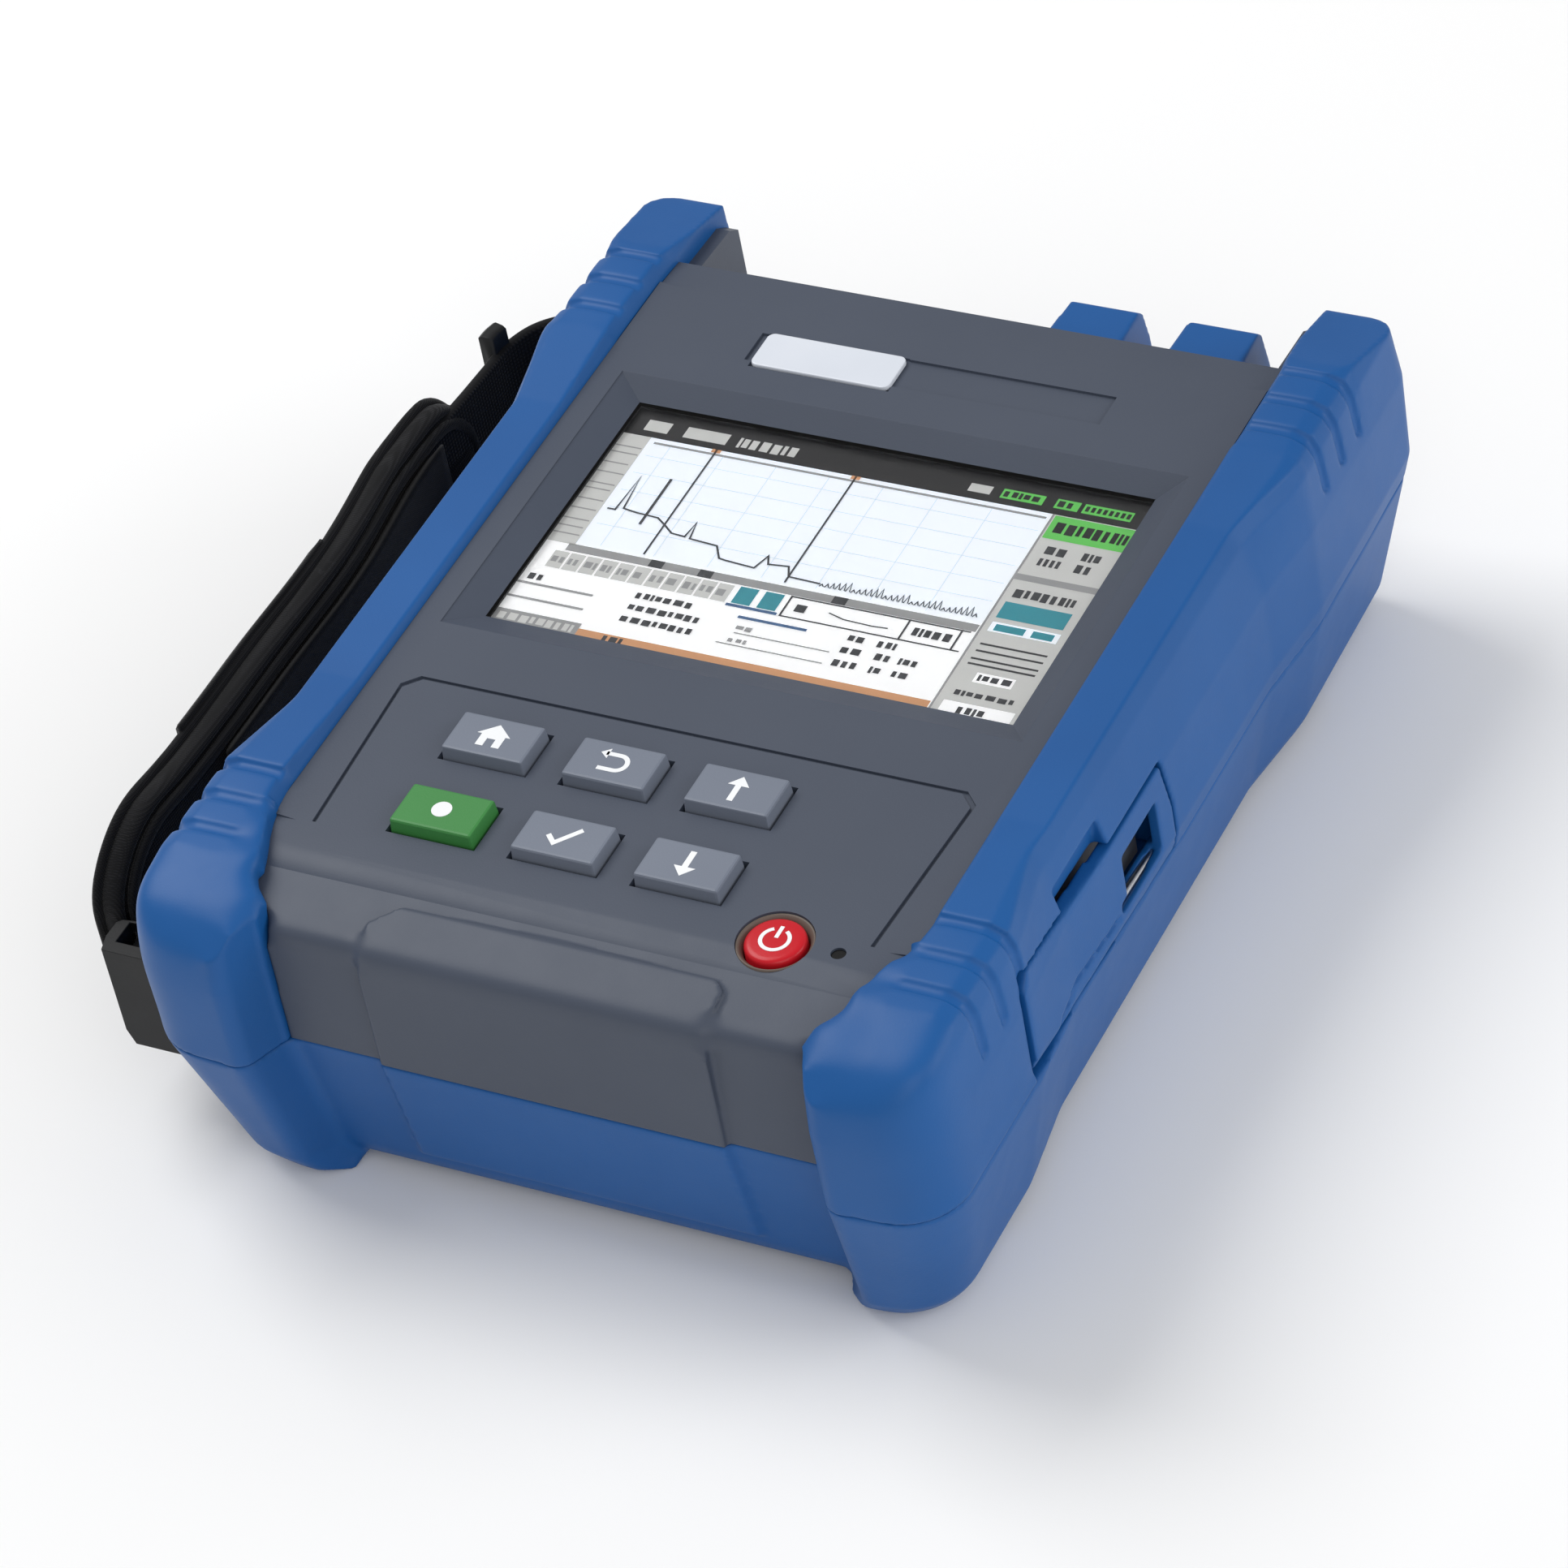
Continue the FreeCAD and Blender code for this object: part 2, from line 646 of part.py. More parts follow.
block_blank = prism("block_blank", "YZ", [
    ("bay_front+block_gap", f"{seam_at('bay_front')}+1.6+block_gap+0.2"),
    ("bay_rear-block_gap", f"{seam_at('bay_rear')}+1.6+block_gap+0.2"),
    ("bay_rear-block_gap", "bay_top-block_gap"), ("bay_front+block_gap", "bay_top-block_gap")],
    "bay_floor", "block_face")
connector_block = cut("connector_block_form", block_blank, [
    rod("dc_seat", "dc_outer+jack_fit", ("bay_floor+1", "dc_y", "jack_z"), "case_half", "X"),
    box("usb_seat", ("bay_floor+1", "case_half"), ("usb_y-usb_wide/2-jack_fit", "usb_y+usb_wide/2+jack_fit"),
        ("jack_z-usb_high/2-jack_fit", "jack_z+usb_high/2+jack_fit")),
    box("lan_seat", ("bay_floor+1", "case_half"), ("lan_y-lan_wide/2-jack_fit", "lan_y+lan_wide/2+jack_fit"),
        ("jack_z-lan_high/2-jack_fit", "jack_z+lan_high/2+jack_fit"))])
node(connector_block, "connector_block")

dc_jack = fuse("dc_jack_form", [
    cut("dc_shell", rod("dc_body", "dc_outer", ("bay_floor+1", "dc_y", "jack_z"),
                        "block_face-bay_floor", "X"),
        [rod("dc_hollow", "dc_socket", ("bay_floor+2.5", "dc_y", "jack_z"), "case_half", "X")]),
    rod("dc_centre", "dc_pin", ("bay_floor+2", "dc_y", "jack_z"), "block_face-bay_floor-2.5", "X")])
node(dc_jack, "dc_jack")


def shell_jack(label, place_y, wide, high, tongue):
    """A rectangular metal socket shell with a contact tongue inside it."""
    outer = box(label + "_outer", ("bay_floor+1", "block_face+0.4"),
                (f"{place_y}-{wide}/2", f"{place_y}+{wide}/2"),
                (f"jack_z-{high}/2", f"jack_z+{high}/2"))
    inner = box(label + "_inner", ("bay_floor+1.8", "case_half"),
                (f"{place_y}-{wide}/2+jack_wall", f"{place_y}+{wide}/2-jack_wall"),
                (f"jack_z-{high}/2+jack_wall", f"jack_z+{high}/2-jack_wall"))
    blade = box(label + "_tongue", ("bay_floor+1.4", "block_face-1"),
                (f"{place_y}-{wide}/2+2.2", f"{place_y}+{wide}/2-2.2"),
                (f"jack_z+{tongue}", f"jack_z+{tongue}+1"))
    return node(fuse(label + "_form", [cut(label + "_shell", outer, [inner]), blade]), label)


shell_jack("usb_jack", "usb_y", "usb_wide", "usb_high", "0")
shell_jack("lan_jack", "lan_y", "lan_wide", "lan_high", "3")

# ---------------------------------------------------------------------------------------------
# Top cover
# ---------------------------------------------------------------------------------------------
screen_front = "(screen_mid-screen_high/2)"
screen_rear = "(screen_mid+screen_high/2)"
window_top = "(plate_top-bezel_deep)"
plate_under = window_top
POSTS = [(f"{sign}*post_x", place_y) for sign in (-1, 1) for place_y in ("post_front", "post_rear")]

cover_side = prism("cover_side", "YZ", [
    ("-face_front", "seam_front"), ("-face_front+1", "nose_top"), ("-slope_start", "plate_top"),
    ("plate_rear-8", "plate_top"), ("plate_rear", "plate_top-0.5"), ("plate_rear", "plate_top-bezel_deep"),
    ("horn_rear-5.5", "plate_top-4.2"), ("horn_rear-2.2", "plate_top-6.4"),
    ("horn_rear-2.2", "seam_rear"), ("seam_rear_bend", "seam_rear"),
    ("seam_front_bend", "seam_front")], "-cover_half*2", "cover_half*2")
side_lips = [prism(f"side_lip_{side}", "XZ", [
    (f"{sign}*(cover_half-lip_run)", "plate_top"), (f"{sign}*cover_half", "plate_top"),
    (f"{sign}*cover_half", "plate_top+lip_rise")] if sign > 0 else [
    (f"{sign}*(cover_half-lip_run)", "plate_top"), (f"{sign}*cover_half", "plate_top+lip_rise"),
    (f"{sign}*cover_half", "plate_top")], "-slope_start+6", "plate_rear-8")
    for side, sign in (("left", -1), ("right", 1))]
tongue_plan = prism("tongue_plan", "XY", [
    ("-tongue_half", "-bumper_front"), ("tongue_half", "-bumper_front"),
    ("tongue_half", "-tongue_rear-2.5"), ("tongue_half-2", "-tongue_rear-0.6"),
    ("0", "-tongue_rear+0.6"), ("-tongue_half+tongue_bevel", "-tongue_rear-0.6"),
    ("-tongue_half", "-tongue_rear-tongue_bevel")], "0", "crest_high*2")


def slope_at(y):
    """Height of the plate where it falls towards the front edge."""
    return f"(plate_top-(plate_top-nose_top)*(-slope_start-({y}))/(face_front-1-slope_start))"


tongue_side = prism("tongue_side", "YZ", [
    ("-tongue_rear+1", slope_at("-tongue_rear+1")),
    ("-tongue_rear-1", f"{slope_at('-tongue_rear-1')}+tongue_proud"),
    ("-face_front+1", "nose_top+tongue_proud"), ("-face_front-tongue_proud+0.5", "nose_top"),
    ("-face_front-tongue_proud", "seam_front"), ("-face_front+2", "seam_front"),
    ("-face_front+2", "nose_top-2"), ("-tongue_rear+1", "nose_top-1")], "-tongue_half*2", "tongue_half*2")
tongue = common("tongue", [tongue_plan, tongue_side])
cover_blank = fuse("cover_blank", [common("cover_core", [cover_block, cover_side]), tongue] + side_lips)
cover_room = prism("cover_room", "YZ", [
    ("-face_front+wall", "0"), ("-face_front+wall", "nose_top-wall"),
    ("-slope_start-wall*2", plate_under), ("plate_rear", plate_under), ("plate_rear", "crest_high*2"),
    ("horn_rear*2", "crest_high*2"), ("horn_rear*2", "0")], "-cover_half+wall", "cover_half-wall")
front_fill = [prism(f"front_corner_{side}", "XY", [
    (f"{sign}*(face_half-wall)", "-face_front"), (f"{sign}*cover_half", "-face_front"),
    (f"{sign}*cover_half", "-face_front+26"), (f"{sign}*(cover_half-wall)", "-face_front+24"),
    (f"{sign}*(cover_half-2.2-wall)", "-face_front+13")], "0", "nose_top")
    for side, sign in (("left", -1), ("right", 1))]
cover_hollow = cut("cover_hollow", cover_room, front_fill)
bezel = frustum("bezel",
                ("-screen_wide/2", "screen_wide/2", screen_front, screen_rear),
                ("-screen_wide/2-bezel_side", "screen_wide/2+bezel_side",
                 f"{screen_front}-bezel_front", f"{screen_rear}+bezel_rear"),
                (window_top, "plate_top"))
bezel_through = box("bezel_through", ("-screen_wide/2", "screen_wide/2"), (screen_front, screen_rear),
                    (f"{window_top}-9", "plate_top"))
KEYS = [(label, column, line) for line, labels in enumerate((("home_key", "back_key", "up_key"),
                                                            ("start_key", "enter_key", "down_key")))
        for column, label in enumerate(labels)]


def key_frame(column, line, grow):
    """Plan limits of a key, grown on every side by a formula."""
    x, y = f"(key_left+{column}*key_pitch)", f"(key_row-{line}*key_row_pitch)"
    return (f"{x}-key_wide/2-({grow})", f"{x}+key_wide/2+({grow})",
            f"{y}-key_long/2-({grow})", f"{y}+key_long/2+({grow})")


key_holes = []
for label, column, line in KEYS:
    x0, x1, y0, y1 = key_frame(column, line, "key_gap")
    key_holes.append(box(label + "_hole", (x0, x1), (y0, y1), ("nose_top-9", "crest_high*2")))


def pad_outline(name, grow, low):
    """The keypad's outline as a plate, grown by a formula."""
    return prism(name, "XY", [
        (f"-pad_outline_narrow-({grow})", f"pad_outline_front-({grow})"),
        (f"pad_outline_narrow+({grow})", f"pad_outline_front-({grow})"),
        (f"pad_outline_half+({grow})", f"pad_outline_rear-3+({grow})"),
        (f"pad_outline_half-3+({grow})", f"pad_outline_rear+({grow})"),
        (f"-pad_outline_half+3-({grow})", f"pad_outline_rear+({grow})"),
        (f"-pad_outline_half-({grow})", f"pad_outline_rear-3+({grow})")], low, "crest_high*2")


outline_groove = cut("outline_groove", pad_outline("outline_outer", "0", "plate_top-outline_deep"),
                     [pad_outline("outline_inner", "-outline_wide", "plate_top-outline_deep-1"),
                      box("outline_open", ("-pad_outline_half+2", "pad_outline_half-2"),
                          ("pad_outline_front-9", "pad_outline_front+6"), ("0", "crest_high*2"))])
name_recess = box("name_recess", ("name_left", "name_right"), ("name_front", "name_rear"),
                  ("plate_top-name_deep", "crest_high"))
badge_seat = box("badge_seat", ("badge_left", "badge_left+badge_wide"),
                 ("badge_front", "badge_front+badge_long"), ("plate_top-name_deep", "crest_high"))
power_well = rod("power_well", "power_well", ("power_x", "power_y", "nose_top-9"), "crest_high")
lamp_hole = rod("lamp_hole", "lamp_radius+lamp_gap", ("lamp_x", "lamp_y", "nose_top-9"), "crest_high")
boss_blocks = [box(f"boss_{number}", (f"{x}-post_half", f"{x}+post_half"),
                   (f"{y}-post_half", f"{y}+post_half"),
                   ("seam_rear-1", f"{plate_under}+1"))
               for number, (x, y) in enumerate(POSTS)]
bosses = [cut("bosses", fuse("boss_group", boss_blocks), [below_seam])]
boss_holes = [rod(f"boss_hole_{number}", "screw_radius+screw_fit", (x, y, "seam_front-9"), "9+12")
              for number, (x, y) in enumerate(POSTS)]
tray_bosses = [(f"{side}*(screen_wide/2-tray_ear)", f"(screen_mid+{side}*(screen_high/2+lcd_lap+tray_ear/2-1))")
               for side in (-1, 1)]
tray_top = f"({window_top}-window_thick-gasket_thick-lcd_thick+tray_thick)"
tray_posts = [box(f"tray_post_{number}", (f"{x}-tray_ear/2+1", f"{x}+tray_ear/2-1"),
                  (f"{y}-tray_ear/2+1", f"{y}+tray_ear/2-1"), (tray_top, "plate_top-wall/2"))
              for number, (x, y) in enumerate(tray_bosses)]
tray_holes = [rod(f"tray_hole_{number}", "screw_radius*0.6+screw_fit", (x, y, f"{tray_top}-5"), "5+4.5")
              for number, (x, y) in enumerate(tray_bosses)]
cover_solid = fuse("cover_solid", [cut("cover_shell", cover_blank, [cover_hollow])] + bosses + tray_posts)
top_cover = cut("top_cover_form", cover_solid,
                [bezel, bezel_through, outline_groove, name_recess, badge_seat, power_well, lamp_hole]
                + key_holes + boss_holes + tray_holes)
node(top_cover, "top_cover")

# ---------------------------------------------------------------------------------------------
# Display stack
# ---------------------------------------------------------------------------------------------


def screen_slab(name, grow, top, thick):
    """A plate round the screen opening, grown by a formula, with its top at a given height."""
    return box(name, (f"-screen_wide/2-({grow})", f"screen_wide/2+({grow})"),
               (f"{screen_front}-({grow})", f"{screen_rear}+({grow})"), (f"{top}-({thick})", top))


node(screen_slab("window_pane", "window_lap", window_top, "window_thick"), "screen_window")
gasket_top = f"({window_top}-window_thick)"
node(cut("gasket_form", screen_slab("gasket_outer", "window_lap", gasket_top, "gasket_thick"),
         [screen_slab("gasket_inner", "0", f"{gasket_top}+1", "gasket_thick+2")]), "window_gasket")
lcd_top = f"({gasket_top}-gasket_thick)"
node(screen_slab("lcd_body", "lcd_lap-1", lcd_top, "lcd_thick"), "lcd_module")
lcd_under = f"({lcd_top}-lcd_thick)"
tray_plate = screen_slab("tray_plate", "lcd_lap", lcd_under, "tray_thick")
tray_ears = [box(f"tray_ear_{number}", (f"{x}-tray_ear/2", f"{x}+tray_ear/2"),
                 (f"{y}-tray_ear/2", f"{y}+tray_ear/2"), (f"{tray_top}-tray_thick", tray_top))
             for number, (x, y) in enumerate(tray_bosses)]
tray_wall = cut("tray_wall", screen_slab("tray_wall_outer", "lcd_lap", tray_top, "2*tray_thick"),
                [screen_slab("tray_wall_inner", "lcd_lap-1+0.1", f"{tray_top}+1", "2*tray_thick+2")])
tray_ear_holes = [rod(f"ear_hole_{number}", "screw_radius*0.6+0.2", (x, y, f"{tray_top}-9"), "18")
                  for number, (x, y) in enumerate(tray_bosses)]
node(cut("display_tray_form", fuse("tray_body", [tray_plate, tray_wall] + tray_ears), tray_ear_holes),
     "display_tray")


def screws(label, spots, radius, head, head_high, under, length, upward):
    """A group of equal screws; under is the height of the seat, upward is +1 if the shank goes up."""
    group = []
    for number, (x, y) in enumerate(spots):
        shank_low = under if upward > 0 else f"({under})-({length})"
        head_low = f"({under})-({head_high})" if upward > 0 else under
        group.append(fuse(f"{label}_{number}", [
            rod(f"{label}_shank_{number}", radius, (x, y, shank_low), length),
            rod(f"{label}_head_{number}", head, (x, y, head_low), head_high)]))
    return node(fuse(label + "_form", group), label)


screws("tray_screws", tray_bosses, "screw_radius*0.6", "screw_radius*1.1", "screw_head_high*0.7",
       f"{tray_top}-tray_thick", "5", 1)

# ---------------------------------------------------------------------------------------------
# Keys, silicone mat and key board
# ---------------------------------------------------------------------------------------------
lip_top = f"({plate_under}-0.3)"
key_base = f"({lip_top}-key_lip_high)"
for label, column, line in KEYS:
    x0, x1, y0, y1 = key_frame(column, line, "0")
    top = (f"{x0}+key_draft", f"{x1}-key_draft", f"{y0}+key_draft", f"{y1}-key_draft")
    stem = frustum(label + "_cap", (x0, x1, y0, y1), top, (key_base, "key_top"))
    doc.recompute()
    x0, x1, y0, y1 = key_frame(column, line, "key_lip")
    lip = box(label + "_lip", (x0, x1), (y0, y1), (key_base, lip_top))
    node(fuse(label + "_form", [stem, lip]), label)

dome_top = f"({key_base}-key_travel-0.3)"
mat_low = f"({dome_top}-mat_dome-mat_thick)"
mat_left, mat_right = "(key_left-key_wide)", "(lamp_x+lamp_radius+1.2)"
mat_front, mat_rear = "(power_y-power_flange-1)", "(key_row+key_long)"


def mat_dome(name, x, y):
    """A raised pad of the mat under one key."""
    wide, narrow = "3.6", "3"
    return frustum(name, (f"{x}-{wide}", f"{x}+{wide}", f"{y}-{wide}", f"{y}+{wide}"),
                   (f"{x}-{narrow}", f"{x}+{narrow}", f"{y}-{narrow}", f"{y}+{narrow}"),
                   (f"{mat_low}+mat_thick/2", f"{mat_low}+mat_thick+mat_dome"))


mat_domes = [mat_dome(f"dome_{label}", f"(key_left+{column}*key_pitch)", f"(key_row-{line}*key_row_pitch)")
             for label, column, line in KEYS]
mat_domes.append(mat_dome("dome_power", "power_x", "power_y"))
mat_plate = box("mat_plate", (mat_left, mat_right), (mat_front, mat_rear), (mat_low, f"{mat_low}+mat_thick"))
node(fuse("key_mat_form", [mat_plate] + mat_domes), "key_mat")
key_board = box("key_board_form", (mat_left, mat_right), (mat_front, mat_rear),
                (f"{mat_low}-board_thick", mat_low))
node(key_board, "key_board")

power_cap = rod("power_cap", "power_radius", ("power_x", "power_y", key_base), f"power_top-{key_base}")
power_lip = rod("power_lip", "power_flange", ("power_x", "power_y", key_base), "key_lip_high")
doc.recompute()
node(fuse("power_button_form", [power_cap, power_lip]), "power_button")
lamp = rod("status_lamp_form", "lamp_radius", ("lamp_x", "lamp_y", f"{mat_low}+mat_thick"),
           f"plate_top-0.4-({mat_low}+mat_thick)")
node(lamp, "status_lamp")
badge = box("badge_form", ("badge_left+0.2", "badge_left+badge_wide-0.2"),
            ("badge_front+0.2", "badge_front+badge_long-0.2"),
            ("plate_top-name_deep", "plate_top-name_deep+badge_thick"))
node(soften("badge_rounded", badge, "1.6", upright), "blank_badge")

# ---------------------------------------------------------------------------------------------
# Fibre ports: panel, adapters, hinged dust caps
# ---------------------------------------------------------------------------------------------
panel_face = "(plate_rear-panel_back)"
PORTS = [("a", "port_one"), ("b", "(port_one+port_pitch)")]
cap_half = "(cap_wide/2)"
panel_plate = box("panel_plate", ("-cover_half+wall+panel_gap", "cover_half-wall-panel_gap"),
                  (f"{panel_face}-panel_thick", panel_face), ("seam_rear", plate_under))
ears = []
for letter, middle in PORTS:
    for side in (-1, 1):
        near = f"({middle}+{side}*({cap_half}+cap_gap))"
        far = f"({middle}+{side}*({cap_half}+cap_gap+ear_thick))"
        low, high = (near, far) if side > 0 else (far, near)
        tag = f"{letter}_{'left' if side < 0 else 'right'}"
        ears.append(box("ear_" + tag, (low, high), (f"{panel_face}-1", "cap_pin_y+ear_radius"),
                        ("cap_pin_z-ear_radius", "cap_pin_z+ear_radius")))
pin_long = f"({cap_half}+cap_gap+ear_thick)*2"
panel_cuts = []
pins = []
for letter, middle in PORTS:
    start = (f"{middle}-{cap_half}-cap_gap-ear_thick", "cap_pin_y", "cap_pin_z")
    panel_cuts.append(rod("ear_bore_" + letter, "pin_radius+0.03", start, pin_long, "X"))
    panel_cuts.append(rod("port_hole_" + letter, "port_barrel+0.05",
                          (middle, f"{panel_face}-panel_thick-1", "port_height"), "panel_thick+2", "Y"))
    pins.append(rod("cap_pin_" + letter, "pin_radius", start, pin_long, "X"))
node(cut("port_panel_form", fuse("port_panel_body", [panel_plate] + ears), panel_cuts), "port_panel")
node(fuse("cap_pins_form", pins), "cap_pins")

for letter, middle in PORTS:
    flange = box("flange_" + letter, (f"{middle}-port_flange/2", f"{middle}+port_flange/2"),
                 (panel_face, f"{panel_face}+port_flange_thick"),
                 ("port_height-port_flange/2", "port_height+port_flange/2"))
    barrel = rod("barrel_" + letter, "port_barrel", (middle, f"{panel_face}-panel_thick-port_tail",
                                                    "port_height"),
                 "port_tail+panel_thick+port_reach", "Y")
    bore = rod("sleeve_" + letter, "port_bore", (middle, f"{panel_face}-panel_thick-port_tail-1",
                                                "port_height"),
               "port_tail+panel_thick+port_reach+2", "Y")
    node(cut("adapter_form_" + letter, fuse("adapter_body_" + letter, [flange, barrel]), [bore]),
         "fibre_adapter_" + letter)

cap_front = "(cap_pin_y-cap_knuckle)"
for letter, middle in PORTS:
    # Side view, from the hinge knuckle back to the leaning rear face.
    cap_side = prism("cap_side_" + letter, "YZ", [
        ("cap_pin_y", "cap_pin_z+cap_knuckle"), ("cap_rear-cap_lean-2", "cap_pin_z+cap_knuckle-0.6"),
        ("cap_rear-cap_lean", "cap_pin_z+cap_knuckle-2.4"), ("cap_rear-0.6", "cap_low+1.4"),
        ("cap_rear-2.6", "cap_low"), (cap_front, "cap_low"), (cap_front, "cap_pin_z"),
        ("cap_pin_y", "cap_pin_z")], f"{middle}-{cap_half}", f"{middle}+{cap_half}")
    # Plan, narrowing towards the rear.
    cap_plan = prism("cap_plan_" + letter, "XY", [
        (f"{middle}-{cap_half}", "cap_pin_y-9"), (f"{middle}+{cap_half}", "cap_pin_y-9"),
        (f"{middle}+{cap_half}", "cap_pin_y"), (f"{middle}+{cap_half}-cap_draft", "cap_rear-2"),
        (f"{middle}+{cap_half}-cap_draft-1.4", "cap_rear+1"),
        (f"{middle}-{cap_half}+cap_draft+1.4", "cap_rear+1"),
        (f"{middle}-{cap_half}+cap_draft", "cap_rear-2"), (f"{middle}-{cap_half}", "cap_pin_y")],
        "0", "crest_high*2")
    knuckle = rod("cap_knuckle_" + letter, "cap_knuckle", (f"{middle}-{cap_half}", "cap_pin_y", "cap_pin_z"),
                  "cap_wide", "X")
    cap_outer = fuse("cap_outer_" + letter, [common("cap_block_" + letter, [cap_side, cap_plan]), knuckle])
    room = prism("cap_room_" + letter, "YZ", [
        ("cap_pin_y-9", "cap_low+cap_wall"), ("cap_rear-5", "cap_low+cap_wall"),
        ("cap_rear-cap_lean-4", "cap_pin_z-cap_knuckle-0.2"), ("cap_pin_y+1.3", "cap_pin_z-cap_knuckle-0.2"),
        ("cap_pin_y-cap_knuckle-0.1", "cap_pin_z-1.4"), ("cap_pin_y-9", "cap_pin_z-1.4")],
        f"{middle}-{cap_half}+cap_wall+0.4", f"{middle}+{cap_half}-cap_wall-0.4")
    hole = rod("cap_bore_" + letter, "pin_radius+pin_gap", (f"{middle}-cap_wide", "cap_pin_y", "cap_pin_z"),
               "cap_wide*2", "X")
    node(cut("cap_form_" + letter, cap_outer, [room, hole]), "dust_cap_" + letter)

# ---------------------------------------------------------------------------------------------
# Lower case with its feet, battery well, posts and the mating half of the front tongue
# ---------------------------------------------------------------------------------------------
floor_top = "(belly+floor_thick)"
tub_form = common("tub_form", [case_form, below_seam])
cross_channel = prism("cross_channel", "YZ", [
    ("-bumper_front+foot_reach", "-1"), ("-bumper_front+foot_reach+belly*2", "belly"),
    ("horn_rear-foot_reach-belly*2", "belly"), ("horn_rear-foot_reach", "-1")],
    "-case_half*2", "case_half*2")
long_channel = prism("long_channel", "XZ", [
    ("-foot_half", "-1"), ("-foot_half+belly", "belly"), ("foot_half-belly", "belly"), ("foot_half", "-1")],
    "-case_half*2", "case_half*2")
tub_room = box("tub_room", ("-tub_room_half", "tub_room_half"),
               ("-face_front+wall+6", f"{panel_face}-panel_thick-2"), (floor_top, "crest_high"))
well_wall = "(wall*0.8)"
well_x = ("-cell_wide/2-hatch_gap", "cell_wide/2+hatch_gap")
well_y = ("cell_front-hatch_gap", "cell_front+cell_long+hatch_gap")
cell_low = "(belly+hatch_thick+hatch_gap)"
cell_top = f"({cell_low}+cell_high)"
well_block = box("well_block", (f"{well_x[0]}-{well_wall}", f"{well_x[1]}+{well_wall}"),
                 (f"{well_y[0]}-{well_wall}", f"{well_y[1]}+{well_wall}"),
                 ("belly", f"{cell_top}+hatch_gap+{well_wall}"))
well_room = box("well_room", well_x, well_y, ("belly-1", f"{cell_top}+hatch_gap"))
hatch_room = box("hatch_room", (f"{well_x[0]}-hatch_lap", f"{well_x[1]}+hatch_lap"),
                 (f"{well_y[0]}-hatch_lap", f"{well_y[1]}+hatch_lap"), ("-1", "belly+hatch_thick"))
hatch_land = box("hatch_land", (f"{well_x[0]}-hatch_lap-{well_wall}", f"{well_x[1]}+hatch_lap+{well_wall}"),
                 (f"{well_y[0]}-hatch_lap-{well_wall}", f"{well_y[1]}+hatch_lap+{well_wall}"),
                 ("belly", f"{floor_top}+4"))
tub_band = prism("tub_band", "YZ", [
    ("-face_front+3", "seam_front"), ("-face_front-tongue_proud", "seam_front"),
    ("-face_front-tongue_proud+4.6", "10"), ("-face_front+10", "8"), ("-face_front+12", "16")],
    "-tongue_half", "tongue_half")
posts = [box(f"post_{number}", (f"{x}-post_half", f"{x}+post_half"),
             (f"{y}-post_half", f"{y}+post_half"), ("belly", "seam_front"))
         for number, (x, y) in enumerate(POSTS)]
post_bores = [rod(f"post_bore_{number}", "screw_radius+0.2", (x, y, "-1"), "seam_front+9")
              for number, (x, y) in enumerate(POSTS)]
post_sinks = [rod(f"post_sink_{number}", "screw_head+0.3", (x, y, "-1"), "1+belly+6")
              for number, (x, y) in enumerate(POSTS)]
BOARD_POSTS = [(f"{sign}*(board_wide/2-board_post_in)", place_y) for sign in (-1, 1)
               for place_y in ("board_front+board_post_in", "module_front-board_post_in")]
BOARD_SCREWS = [BOARD_POSTS[0], BOARD_POSTS[3]]
board_posts = [box(f"board_post_{number}", (f"{x}-board_post", f"{x}+board_post"),
                   (f"{y}-board_post", f"{y}+board_post"), ("belly+1", "board_low"))
               for number, (x, y) in enumerate(BOARD_POSTS)]
board_holes = [rod(f"board_hole_{number}", "screw_radius*0.8+screw_fit", (x, y, "board_low-8"), "9")
               for number, (x, y) in enumerate(BOARD_SCREWS)]
HATCH_SCREWS = [(f"{side}*(cell_wide/2-8)", f"({well_y[0]}-hatch_lap/2)") for side in (-1, 1)]
hatch_holes = [rod(f"hatch_hole_{number}", "screw_radius*0.8+screw_fit", (x, y, "belly"), "8")
               for number, (x, y) in enumerate(HATCH_SCREWS)]

# The stand lies in a recess in the belly and swings on a pin at its rear end.
stand_front = "(stand_rear-stand_long)"
stand_axis_y = "(stand_rear-stand_thick*0.5-0.5)"
stand_axis_z = "(belly+stand_thick*0.5+0.2)"
stand_recess = box("stand_recess", ("-stand_wide/2-stand_gap", "stand_wide/2+stand_gap"),
                   (f"{stand_front}-stand_gap", "stand_rear+stand_gap+1"), ("-1", "belly+stand_thick+stand_gap"))
stand_land = box("stand_land", ("-stand_wide/2-stand_gap-wall", "stand_wide/2+stand_gap+wall"),
                 (f"{stand_front}-stand_gap-wall*0.7", "plate_rear"), ("belly", f"{floor_top}+stand_gap+2.4"))
stand_pin_long = "stand_wide+2*(stand_gap+stand_pin_reach)"
stand_pin_start = ("-stand_wide/2-stand_gap-stand_pin_reach", stand_axis_y, stand_axis_z)
stand_bore = rod("stand_bore", "stand_pin+0.03", stand_pin_start, stand_pin_long, "X")
tub_inside = cut("tub_inside", tub_room, [well_block, hatch_land, stand_land] + posts + board_posts)
tub_solid = cut("tub_solid", fuse("tub_banded", [tub_form, tub_band]), [tub_inside])
bottom_case = cut("bottom_case_form", tub_solid,
                  [cross_channel, long_channel, well_room, hatch_room, stand_recess, stand_bore]
                  + post_bores + post_sinks + board_holes + hatch_holes)
node(bottom_case, "bottom_case")

